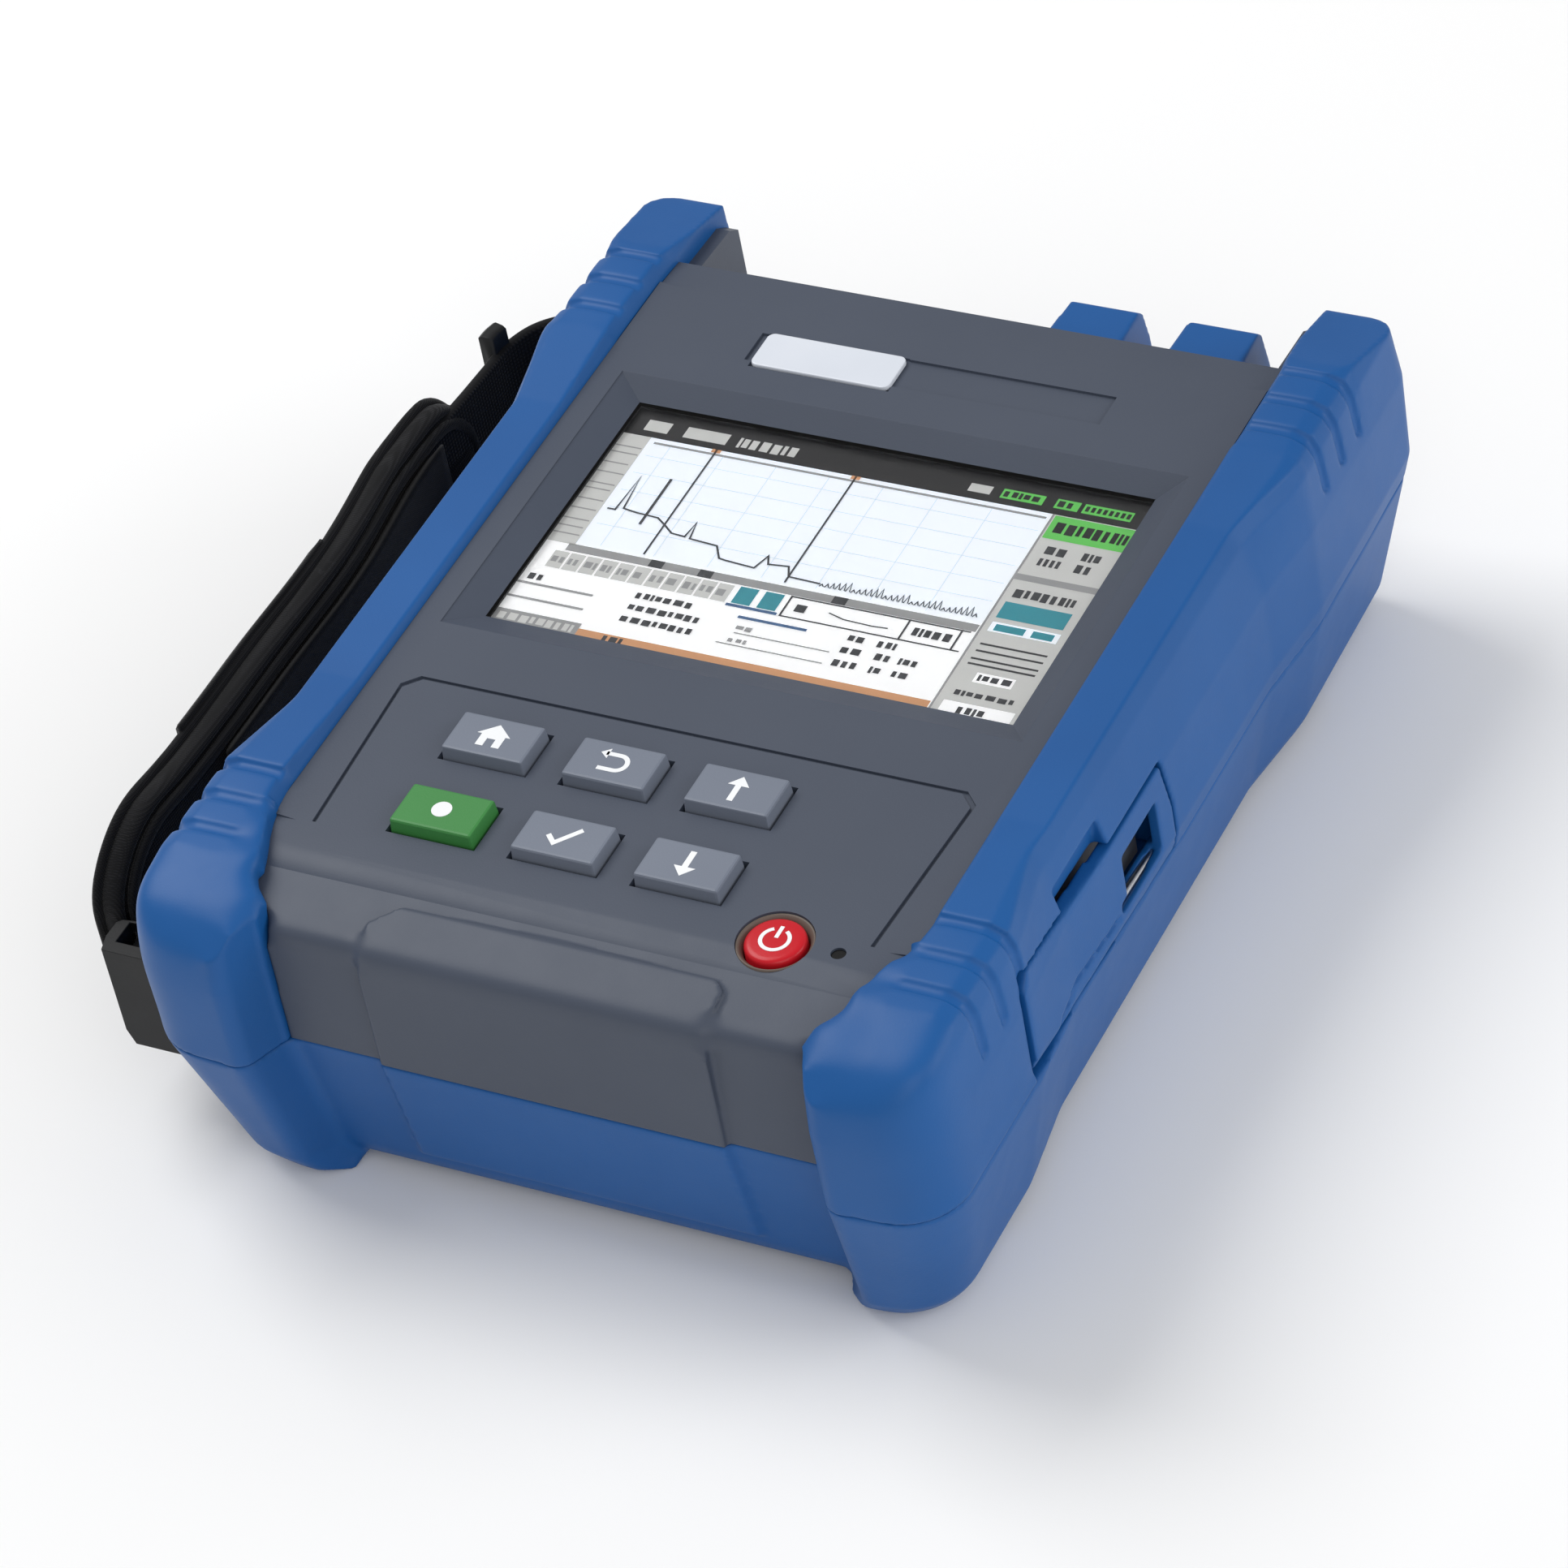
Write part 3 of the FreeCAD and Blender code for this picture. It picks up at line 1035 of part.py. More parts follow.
battery = box("battery_block", ("-cell_wide/2", "cell_wide/2"), ("cell_front", "cell_front+cell_long"),
              (cell_low, cell_top))
node(battery, "battery_pack")
hatch = box("hatch_plate", (f"{well_x[0]}-hatch_lap+hatch_gap", f"{well_x[1]}+hatch_lap-hatch_gap"),
            (f"{well_y[0]}-hatch_lap+hatch_gap", f"{well_y[1]}+hatch_lap-hatch_gap"),
            ("belly", "belly+hatch_thick"))
hatch_sinks = [rod(f"hatch_sink_{number}", "screw_head*0.8+0.1", (x, y, "belly-1"), "1+screw_head_high*0.6")
               for number, (x, y) in enumerate(HATCH_SCREWS)]
hatch_clear = [rod(f"hatch_clear_{number}", "screw_radius*0.8+0.1", (x, y, "belly-1"), "9")
               for number, (x, y) in enumerate(HATCH_SCREWS)]
node(cut("hatch_form", hatch, hatch_sinks + hatch_clear), "battery_cover")

screws("hatch_screws", HATCH_SCREWS, "screw_radius*0.8", "screw_head*0.8", "screw_head_high*0.6",
       "belly+screw_head_high*0.6", "6", 1)
screws("case_screws", POSTS, "screw_radius", "screw_head", "screw_head_high", "belly+6",
       "seam_front+9-belly-6", 1)
main_board = cut("main_board_form", box("main_board_plate", ("-board_wide/2", "board_wide/2"),
                                        ("board_front", "board_rear"),
                                        ("board_low", "board_low+board_thick")),
                 [rod(f"board_clear_{number}", "screw_radius*0.8+0.2", (x, y, "board_low-1"), "9")
                  for number, (x, y) in enumerate(BOARD_SCREWS)])
node(main_board, "main_board")
screws("board_screws", BOARD_SCREWS, "screw_radius*0.8", "screw_head*0.8", "screw_head_high",
       "board_low+board_thick", "board_thick+6", -1)
module = box("module_form", ("module_left", "module_right"), ("module_front", "module_rear-0.4"),
             ("board_low+board_thick", "module_top"))
node(module, "optical_module")

# ---------------------------------------------------------------------------------------------
# Tilt stand
# ---------------------------------------------------------------------------------------------
stand_blank = box("stand_blank", ("-stand_wide/2", "stand_wide/2"), (stand_front, stand_axis_y),
                  ("belly+0.2", "belly+0.2+stand_thick"))
stand_roll = rod("stand_roll", "stand_thick/2", ("-stand_wide/2", stand_axis_y, stand_axis_z),
                 "stand_wide", "X")
stand_open = box("stand_open", ("-stand_wide/2+stand_leg", "stand_wide/2-stand_leg"),
                 (f"{stand_front}+stand_leg", f"{stand_axis_y}-stand_leg/2"), ("-1", "belly+9"))
stand_hole = rod("stand_hole", "stand_pin+pin_gap", ("-stand_wide", stand_axis_y, stand_axis_z),
                 "stand_wide*2", "X")
node(cut("tilt_stand_form", fuse("stand_body", [stand_blank, stand_roll]), [stand_open, stand_hole]),
     "tilt_stand")

node(rod("stand_pin_form", "stand_pin", stand_pin_start, stand_pin_long, "X"), "stand_pin")

# ---------------------------------------------------------------------------------------------
# Hand strap on the left side
# ---------------------------------------------------------------------------------------------


def lug(label, place_y, toward):
    """A strap loop: base plate on the case side, two arms and an outer bar."""
    front, rear = f"({place_y})", f"({place_y}+lug_long)"
    base = box(label + "_base", ("-case_half+waist_inset-lug_base", "-cover_half-5"), (front, rear),
               ("lug_low", "lug_top"))
    out = "(-lug_out)"
    arms = prism(label + "_arms", "XY", [
        ("-case_half+waist_inset", front), ("-case_half+waist_inset", rear),
        (f"{out}+1", f"{rear}-{'2.5' if toward > 0 else '0'}"), (out, f"{rear}-3.5"),
        (out, f"{front}+3.5"), (f"{out}+1", f"{front}+{'0' if toward > 0 else '2.5'}")],
        "lug_low", "lug_top")
    slot = box(label + "_slot", ("-lug_out+lug_bar", "-case_half-lug_base"),
               (f"{front}+lug_bar", f"{rear}-lug_bar"), ("-1", "crest_high*2"))
    # The end towards the pad is open for the webbing; the other end is a closed wall.
    open_y = (f"{front}+lug_bar", f"{rear}+1") if toward > 0 else (f"{front}-1", f"{rear}-lug_bar")
    window = box(label + "_window", ("-lug_out-1", "-case_half-lug_base"), open_y,
                 ("lug_low+lug_bar", "lug_top-lug_bar"))
    bar = box(label + "_bar", (out, f"{out}+lug_bar"), (f"{front}+3.5", f"{rear}-3.5"),
              ("lug_low+lug_bar-1", "lug_top-lug_bar+1"))
    chamfer = prism(label + "_chamfer", "XZ", [
        (f"{out}-1", "lug_low-1"), (f"{out}+lug_chamfer", "lug_low-1"), (f"{out}+lug_chamfer", "lug_low"),
        (out, "lug_low+2.5*lug_chamfer"), (f"{out}-1", "lug_low+2.5*lug_chamfer")], f"{front}-1", f"{rear}+1")
    ring = cut(label + "_ring", arms, [slot, window])
    return node(cut(label + "_form", fuse(label + "_body", [base, ring, bar]), [case_form, chamfer]), label)


lug("front_strap_lug", "lug_front", 1)
lug("rear_strap_lug", "lug_rear", -1)

strap_in = "(-strap_out+strap_thick)"
pad_plan = prism("pad_plan", "XY", [
    ("-strap_out+strap_bow", "strap_front"), ("-strap_out+strap_bow*0.3", "strap_front*0.6"),
    ("-strap_out", "strap_front*0.2"), ("-strap_out", "strap_rear*0.3"),
    ("-strap_out+strap_bow*0.3", "strap_rear*0.65"), ("-strap_out+strap_bow", "strap_rear"),
    (strap_in, "strap_rear"), (strap_in, "strap_front")], "0", "crest_high*2")
pad_side = prism("pad_side", "YZ", [
    ("strap_front", "strap_low+5"), ("strap_front+5", "strap_low"), ("strap_rear-8", "strap_low"),
    ("strap_rear", "strap_low+9"), ("strap_rear", "strap_top-14"), ("strap_rear-14", "strap_top-3"),
    ("strap_rear-34", "strap_top"), ("strap_front+24", "strap_top"), ("strap_front+6", "strap_top-4"),
    ("strap_front", "strap_top-12")], "-strap_out-9", "0")
node(common("strap_pad_form", [pad_plan, pad_side]), "strap_pad")


def strap_band(label, end, sign):
    """Webbing from the pad's inner face to the bar of the lug at one end."""
    bar_in = "(-lug_out+lug_bar)"
    turn = f"({end}+({sign})*(-9))"
    return node(prism(label + "_form", "XY", [
        (bar_in, end), (bar_in, turn), (strap_in, f"{turn}-({sign})*9"),
        (strap_in, f"{turn}-({sign})*(9+band_lap)"),
        (f"{strap_in}+band_thick", f"{turn}-({sign})*(9+band_lap)"),
        (f"{strap_in}+band_thick", f"{turn}-({sign})*8.6"), (f"{bar_in}+band_thick", f"{turn}+({sign})*0.4"),
        (f"{bar_in}+band_thick", end)], "band_low", "band_low+band_wide"), label)


strap_band("strap_band_front", "(lug_front+lug_bar+0.4)", -1)
strap_band("strap_band_rear", "(lug_rear+lug_long-lug_bar-0.4)", 1)


# ---------------------------------------------------------------------------------------------
# Checks and export
# ---------------------------------------------------------------------------------------------
def main():
    doc.recompute()
    broken = [thing.Label for thing in doc.Objects if set(thing.State) & {"Invalid", "Error"}]
    for thing in NODES:
        if thing.Shape.isNull() or not thing.Shape.isValid() or not thing.Shape.Solids:
            broken.append(thing.Label)
    if broken:
        raise SystemExit("failed: " + ", ".join(broken))
    os.makedirs("parts", exist_ok=True)
    whole = FreeCAD.BoundBox()
    for thing in NODES:
        thing.Shape.exportStep(f"parts/{thing.Label}.step")
        whole.add(thing.Shape.BoundBox)
    print("nodes", len(NODES), "box", whole)


main()
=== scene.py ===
"""Looks of a hand-held optical time domain reflectometer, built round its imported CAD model.

Metres, in the model's own frame: X across the case, Y from the front edge to the fibre ports, Z up.
"""
import json
import math

import bmesh
import bpy
import numpy as np
from mathutils import Matrix, Vector
from mathutils.bvhtree import BVHTree

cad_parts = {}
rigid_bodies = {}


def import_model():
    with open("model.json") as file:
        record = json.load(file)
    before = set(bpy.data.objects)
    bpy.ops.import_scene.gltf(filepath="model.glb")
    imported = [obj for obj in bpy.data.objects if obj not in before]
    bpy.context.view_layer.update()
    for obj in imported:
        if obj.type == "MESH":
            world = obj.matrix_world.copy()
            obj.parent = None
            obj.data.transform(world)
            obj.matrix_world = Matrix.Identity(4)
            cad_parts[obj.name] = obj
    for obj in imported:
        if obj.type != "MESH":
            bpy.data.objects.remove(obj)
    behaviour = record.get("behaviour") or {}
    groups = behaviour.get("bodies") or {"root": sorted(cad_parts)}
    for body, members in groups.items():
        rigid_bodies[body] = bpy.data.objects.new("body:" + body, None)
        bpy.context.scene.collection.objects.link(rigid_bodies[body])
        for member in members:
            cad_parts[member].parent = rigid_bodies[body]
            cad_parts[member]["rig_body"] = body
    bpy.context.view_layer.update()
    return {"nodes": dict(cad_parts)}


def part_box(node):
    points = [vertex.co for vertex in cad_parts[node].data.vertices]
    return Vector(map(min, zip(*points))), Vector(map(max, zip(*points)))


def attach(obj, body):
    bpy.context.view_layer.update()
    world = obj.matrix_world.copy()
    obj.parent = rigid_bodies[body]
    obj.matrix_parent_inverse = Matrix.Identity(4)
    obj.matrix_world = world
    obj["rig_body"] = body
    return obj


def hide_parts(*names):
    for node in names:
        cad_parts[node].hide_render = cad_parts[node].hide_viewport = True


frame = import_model()
NODES = frame["nodes"]
MM = 0.001

# ---------------------------------------------------------------------------------------------
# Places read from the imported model
# ---------------------------------------------------------------------------------------------
def centre(node):
    """The middle of a CAD node's box."""
    low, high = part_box(node)
    return (low + high) / 2


MIDDLE_X = centre("top_cover").x
LCD_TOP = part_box("lcd_module")[1].z
BUTTON_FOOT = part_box("power_button")[0].z / MM
WINDOW_LOW, WINDOW_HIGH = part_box("screen_window")
PAD_LOW, PAD_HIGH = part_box("strap_pad")


# ---------------------------------------------------------------------------------------------
# Materials
# ---------------------------------------------------------------------------------------------
NOTHING, ALL = (0, 0, 0, 1), (1, 1, 1, 1)      # the two ends of a mask


def rgb(red, green, blue):
    """A colour given in display values 0 to 255, as linear light by the sRGB curve."""
    return tuple(((v / 255 + 0.055) / 1.055) ** 2.4 if v > 10 else v / 255 / 12.92
                 for v in (red, green, blue)) + (1.0,)


class Surface:
    """A principled material with a few nodes built round it."""

    def __init__(self, name, **settings):
        self.material = bpy.data.materials.new(name)
        self.material.use_nodes = True
        self.tree = self.material.node_tree
        self.shader = self.tree.nodes["Principled BSDF"]
        for key, value in settings.items():
            self.shader.inputs[key.replace("_", " ")].default_value = value
        self.place = self.tree.nodes.new("ShaderNodeTexCoord").outputs["Object"]

    def node(self, kind, **values):
        """A new shader node with its sockets or properties set."""
        made = self.tree.nodes.new(kind)
        for key, value in values.items():
            if key in made.inputs:
                made.inputs[key].default_value = value
            else:
                setattr(made, key, value)
        return made

    def link(self, a, b):
        """Join an output to an input."""
        self.tree.links.new(a, b)

    def noise(self, scale, detail=3.0, rough=0.55, stretch=None):
        """Cloudy noise in the object's own coordinates, drawn out if a stretch is given."""
        made = self.node("ShaderNodeTexNoise", Scale=scale, Detail=detail, Roughness=rough)
        source = self.place
        if stretch:
            mapping = self.node("ShaderNodeMapping", Scale=stretch)
            self.link(self.place, mapping.inputs["Vector"])
            source = mapping.outputs[0]
        self.link(source, made.inputs["Vector"])
        return made.outputs["Fac"]

    def ramp(self, value, stops):
        """Colours at places between 0 and 1."""
        made = self.node("ShaderNodeValToRGB")
        band = made.color_ramp
        while len(band.elements) < len(stops):
            band.elements.new(0.5)
        for element, (at, colour) in zip(band.elements, stops):
            element.position = at
            element.color = colour
        self.link(value, made.inputs["Fac"])
        return made.outputs["Color"]

    def spread(self, value, low, high):
        """A 0 to 1 value brought to the range low to high."""
        made = self.node("ShaderNodeMapRange")
        made.inputs["To Min"].default_value = low
        made.inputs["To Max"].default_value = high
        self.link(value, made.inputs["Value"])
        return made.outputs[0]

    def mix(self, share, a, b, blend="MIX"):
        """Two colours mixed; each input is a socket or a plain value."""
        made = self.node("ShaderNodeMix", data_type="RGBA", blend_type=blend)
        factor, first, second = made.inputs[0], made.inputs[6], made.inputs[7]
        for socket, value in ((factor, share), (first, a), (second, b)):
            if isinstance(value, bpy.types.NodeSocket):
                self.link(value, socket)
            else:
                socket.default_value = value
        return made.outputs[2]

    def colour(self, socket):
        """Drive the base colour."""
        self.link(socket, self.shader.inputs["Base Color"])

    def rough(self, socket):
        """Drive the roughness."""
        self.link(socket, self.shader.inputs["Roughness"])

    def bump(self, height, distance, strength):
        """Fine relief of a given depth in metres."""
        made = self.node("ShaderNodeBump", Strength=strength, Distance=distance)
        self.link(height, made.inputs["Height"])
        self.link(made.outputs[0], self.shader.inputs["Normal"])


PLASTIC_SHINE = 0.3
GRAIN_PITCH, GRAIN_DEPTH = 2600.0, 0.00003
DRIFT_PITCH, RUB_PITCH, CHIP_PITCH = 18.0, 120.0, 90.0


def moulded_plastic(name, base, low, high, rough=(0.42, 0.55), grain_deep=GRAIN_DEPTH, edge_wear_and_highlight=None):
    """Moulded plastic or rubber: slight colour drift, spark-eroded grain and paler edges that are partly wear
    and partly a painted highlight.
    """
    s = Surface(name, Specular_IOR_Level=PLASTIC_SHINE)
    drift = s.noise(DRIFT_PITCH, 4.0)
    colour = s.ramp(drift, [(0.3, low), (0.5, base), (0.72, high)])
    # paler convex edges in patches: partly edge wear, partly a painted highlight along the edges
    if edge_wear_and_highlight:
        point = s.node("ShaderNodeNewGeometry").outputs["Pointiness"]
        edge = s.ramp(point, [(0.52, NOTHING), (0.58, ALL)])
        patches = s.ramp(s.noise(CHIP_PITCH, 5.0), [(0.42, NOTHING), (0.62, ALL)])
        colour = s.mix(s.mix(1.0, edge, patches, "MULTIPLY"), colour, edge_wear_and_highlight)
    s.colour(colour)
    s.rough(s.spread(s.noise(RUB_PITCH, 6.0), *rough))
    s.bump(s.noise(GRAIN_PITCH, 2.0, 0.6), grain_deep, 0.6)
    return s.material


BLUE = moulded_plastic("rubber_blue", rgb(20, 84, 149), rgb(18, 81, 145), rgb(22, 87, 153),
                       rough=(0.40, 0.50))
GREY = moulded_plastic("cover_grey", rgb(71, 78, 92), rgb(69, 76, 90), rgb(73, 80, 94), rough=(0.40, 0.50))
KEY_GREY = moulded_plastic("key_grey", rgb(116, 123, 137), rgb(113, 120, 134), rgb(119, 126, 140),
                           rough=(0.34, 0.42))
KEY_GREEN = moulded_plastic("key_green", rgb(64, 134, 69), rgb(61, 130, 66), rgb(67, 138, 72),
                            rough=(0.34, 0.42))
KEY_RED = moulded_plastic("key_red", rgb(196, 20, 34), rgb(192, 18, 31), rgb(200, 23, 37),
                          rough=(0.26, 0.34))
LENS_BLACK = moulded_plastic("lamp_lens", rgb(9, 9, 10), rgb(8, 8, 9), rgb(11, 11, 12), rough=(0.2, 0.28))
WELL_TAN = moulded_plastic("power_well_tan", rgb(104, 92, 84), rgb(98, 87, 79), rgb(110, 98, 90),
                           rough=(0.4, 0.5))
PRINT_WHITE = moulded_plastic("print_white", rgb(240, 242, 244), rgb(234, 236, 239), rgb(246, 247, 248),
                              rough=(0.35, 0.5), grain_deep=0.00001)
# black plastic whose paler edges are partly wear, partly a painted edge highlight
BLACK = moulded_plastic("plastic_black", rgb(30, 31, 34), rgb(26, 27, 30), rgb(35, 36, 39),
                        rough=(0.42, 0.55), edge_wear_and_highlight=rgb(62, 63, 66))
LUG = moulded_plastic("lug_black", rgb(15, 16, 18), rgb(14, 15, 17), rgb(17, 18, 20),
                      rough=(0.42, 0.54))
INNER_GREY = moulded_plastic("inner_grey", rgb(74, 77, 84), rgb(70, 73, 80), rgb(79, 82, 89))
SILICONE = moulded_plastic("silicone_mat", rgb(170, 172, 174), rgb(164, 166, 168), rgb(176, 178, 180))
BADGE_FACE = moulded_plastic("badge_face", rgb(214, 219, 228), rgb(208, 213, 222), rgb(220, 224, 232),
                             rough=(0.22, 0.3), grain_deep=0.000008)


def scaled(colour, share):
    """A colour made darker or lighter by a share, never above white."""
    return tuple(min(1.0, c * share) for c in colour[:3]) + (1,)


def metal(name, colour, rough=(0.22, 0.38)):
    """Plated or stamped metal with fine lines drawn out along Z."""
    s = Surface(name, Metallic=1.0)
    lines = s.noise(900.0, 4.0, 0.6, stretch=(1, 1, 0.05))
    s.colour(s.ramp(lines, [(0.3, scaled(colour, 0.86)), (0.7, colour)]))
    s.rough(s.spread(lines, *rough))
    s.bump(lines, 0.00001, 0.4)
    return s.material


STEEL = metal("steel", rgb(198, 200, 204))
NICKEL = metal("nickel", rgb(186, 182, 172), (0.18, 0.3))
ZINC_BLACK = metal("zinc_black", rgb(52, 52, 55), (0.3, 0.45))


def board_green():
    """Solder-masked board with faint copper runs under the mask."""
    s = Surface("circuit_board", Coat_Weight=0.4, Coat_Roughness=0.2)
    brick = s.node("ShaderNodeTexBrick", Scale=260.0)
    brick.inputs["Color1"].default_value = rgb(24, 92, 56)
    brick.inputs["Color2"].default_value = rgb(20, 82, 50)
    brick.inputs["Mortar"].default_value = rgb(48, 122, 76)
    brick.inputs["Mortar Size"].default_value = 0.06
    s.link(s.place, brick.inputs["Vector"])
    s.colour(brick.outputs["Color"])
    s.rough(s.spread(s.noise(300.0), 0.35, 0.5))
    return s.material


def foil_wrap():
    """Battery sleeve: satin film with shallow creases."""
    s = Surface("battery_sleeve", Coat_Weight=0.3, Coat_Roughness=0.3)
    creases = s.noise(55.0, 6.0, 0.65)
    s.colour(s.ramp(creases, [(0.35, rgb(42, 46, 54)), (0.65, rgb(52, 57, 66))]))
    s.rough(s.spread(creases, 0.3, 0.5))
    s.bump(creases, 0.0003, 0.5)
    return s.material


def woven(name, dark, light, pitch, deep, rough, sheen):
    """Woven nylon: over-and-under threads along Y and Z, with lint and a soft sheen."""
    s = Surface(name, Sheen_Weight=sheen, Sheen_Roughness=0.5, Specular_IOR_Level=0.12)
    threads = []
    for direction in ("Y", "Z"):
        wave = s.node("ShaderNodeTexWave", Scale=0.5 / pitch, Distortion=0.35)
        wave.inputs["Detail Scale"].default_value = 2.0
        wave.bands_direction = direction
        s.link(s.place, wave.inputs["Vector"])
        threads.append(wave.outputs["Fac"])
    weave = s.node("ShaderNodeMath", operation="MULTIPLY")
    s.link(threads[0], weave.inputs[0])
    s.link(threads[1], weave.inputs[1])
    tone = s.ramp(weave.outputs[0], [(0.0, dark), (0.9, light)])
    lint = s.ramp(s.noise(420.0, 6.0, 0.7), [(0.60, NOTHING), (0.78, ALL)])
    s.colour(s.mix(lint, tone, scaled(light, 1.9)))
    s.rough(s.spread(s.noise(60.0, 4.0), *rough))
    s.bump(weave.outputs[0], deep, 0.8)
    return s.material


BOARD = board_green()
SLEEVE = foil_wrap()
PAD_CLOTH = woven("pad_cloth", rgb(9, 9, 11), rgb(18, 18, 20), 0.0009, 0.00012, (0.7, 0.85), 0.1)
BINDING = woven("strap_binding", rgb(12, 12, 14), rgb(25, 25, 28), 0.0006, 0.0001, (0.6, 0.75), 0.1)
WEBBING = woven("strap_webbing", rgb(12, 12, 14), rgb(27, 27, 30), 0.0014, 0.0002, (0.6, 0.75), 0.12)
THREAD = moulded_plastic("strap_thread", rgb(34, 34, 37), rgb(30, 30, 33), rgb(38, 38, 41),
                         rough=(0.6, 0.7))


def clear_pane():
    """Hard-coated display window."""
    s = Surface("window_glass", Transmission_Weight=1.0, Roughness=0.02, IOR=1.2)
    s.shader.inputs["Base Color"].default_value = (1, 1, 1, 1)
    return s.material


GLASS = clear_pane()


def picture(name, colour, glow):
    """A lit patch of the display: pixel rows modulate the colour slightly."""
    s = Surface(name, Roughness=0.35)
    rows = s.node("ShaderNodeTexWave", Scale=1600.0, Distortion=0.0)
    rows.bands_direction = "Y"
    s.link(s.place, rows.inputs["Vector"])
    tone = s.ramp(rows.outputs["Fac"], [(0.0, scaled(colour, 0.93)), (1.0, colour)])
    s.colour(tone)
    s.link(tone, s.shader.inputs["Emission Color"])
    s.shader.inputs["Emission Strength"].default_value = glow
    return s.material


def paint(obj, material):
    """Give an object one material in all its slots."""
    obj.data.materials.clear()
    obj.data.materials.append(material)
    for polygon in obj.data.polygons:
        polygon.material_index = 0
    return obj


# ---------------------------------------------------------------------------------------------
# Mesh helpers
# ---------------------------------------------------------------------------------------------
def add_object(name, verts, faces, materials, body="case", indices=None, smooth=False):
    """A new piece from points and faces, riding on a body of the CAD model."""
    mesh = bpy.data.meshes.new(name)
    mesh.from_pydata([tuple(v) for v in verts], [], faces)
    obj = bpy.data.objects.new(name, mesh)
    bpy.context.scene.collection.objects.link(obj)
    for material in materials:
        mesh.materials.append(material)
    if indices:
        for polygon, index in zip(mesh.polygons, indices):
            polygon.material_index = index
    for polygon in mesh.polygons:
        polygon.use_smooth = smooth
    mesh.update()
    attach(obj, body)
    return obj


def band_faces(rings, around, closed=False):
    """Quads that join rings of points, each ring going round on itself."""
    faces = []
    for i in range(rings if closed else rings - 1):
        ahead = (i + 1) % rings
        for k in range(around):
            m = (k + 1) % around
            faces.append((i * around + k, i * around + m, ahead * around + m, ahead * around + k))
    return faces


def end_caps(rings, around):
    """Flat ends on the first and the last ring."""
    return [tuple(range(around))[::-1], tuple((rings - 1) * around + k for k in range(around))]


def finished(obj):
    """Apply an object's modifiers."""
    graph = bpy.context.evaluated_depsgraph_get()
    mesh = bpy.data.meshes.new_from_object(obj.evaluated_get(graph))
    obj.modifiers.clear()
    obj.data = mesh
    return obj


def body_of(node):
    """The body that a CAD node moves with."""
    return NODES[node]["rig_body"]


def softened(node, material, voxel, rounds):
    """A copy of a CAD node with its edges rounded as moulding rounds them; stands for the node."""
    obj = bpy.data.objects.new(node + "_moulded", NODES[node].data.copy())
    bpy.context.scene.collection.objects.link(obj)
    remesh = obj.modifiers.new("voxels", "REMESH")
    remesh.mode = "VOXEL"
    remesh.voxel_size = voxel
    smooth = obj.modifiers.new("soft", "SMOOTH")
    smooth.factor = 0.5
    smooth.iterations = rounds
    finished(obj)
    paint(obj, material)
    for polygon in obj.data.polygons:
        polygon.use_smooth = True
    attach(obj, body_of(node))
    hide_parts(node)
    return obj


def relax(points, edges, share, rounds):
    """Pull each point towards the mean of its neighbours, by its own share."""
    live = (share[edges[:, 0]] > 0) | (share[edges[:, 1]] > 0)
    first, second = edges[live, 0], edges[live, 1]
    total = len(points)
    count = np.maximum(1, np.bincount(first, minlength=total) + np.bincount(second, minlength=total))
    pull = (share * 0.7)[:, None]
    for _ in range(rounds):
        mean = np.stack([np.bincount(first, points[second, axis], total)
                         + np.bincount(second, points[first, axis], total) for axis in range(3)], 1)
        points = points + pull * (mean / count[:, None] - points)
    return points


def rise(value, start, end):
    """0 at start, 1 at end, eased between; works on whole arrays and in either direction."""
    share = np.clip((value - start) / (end - start), 0, 1)
    return share * share * (3 - 2 * share)


def sculpted(obj, shape):
    """Reshape a mesh: shape takes and gives points in millimetres."""
    data = obj.data
    points = np.empty(len(data.vertices) * 3)
    data.vertices.foreach_get("co", points)
    edges = np.empty(len(data.edges) * 2, dtype=np.int64)
    data.edges.foreach_get("vertices", edges)
    points = shape(points.reshape(-1, 3) * 1000, edges.reshape(-1, 2))
    data.vertices.foreach_set("co", (points / 1000).ravel())
    data.update()
    return obj


def between(value, rising, falling):
    """1 between two eased slopes, 0 outside them."""
    return rise(value, *rising) * rise(value, *falling)


# The bumper rails, in millimetres: how far each place lies along the case and how high it stands.
RAIL_TOP = 73.6
FRONT_GROOVES, GROOVE_HALF = (-79.3, -87.9), 1.7
PIT_Y, PIT_X, PIT_FLOOR = (-95, -77), (66.4, 75), 70.3      # the inner hollow that is filled to the top
INNER_EDGE_Y = (-102, -100, -96, -92, -88, -84, -80, -76, -70)
INNER_EDGE_IN = (0, 0, 1.6, 4.6, 3.5, 2.3, 1.5, 0.7, 0)
FRONT_BANDS, REAR_BANDS = ((-99, -96), (-68, -71)), ((63, 66), (93, 90))
BAND_CUT = 0.38          # the share of the grip bands' depth that is taken away


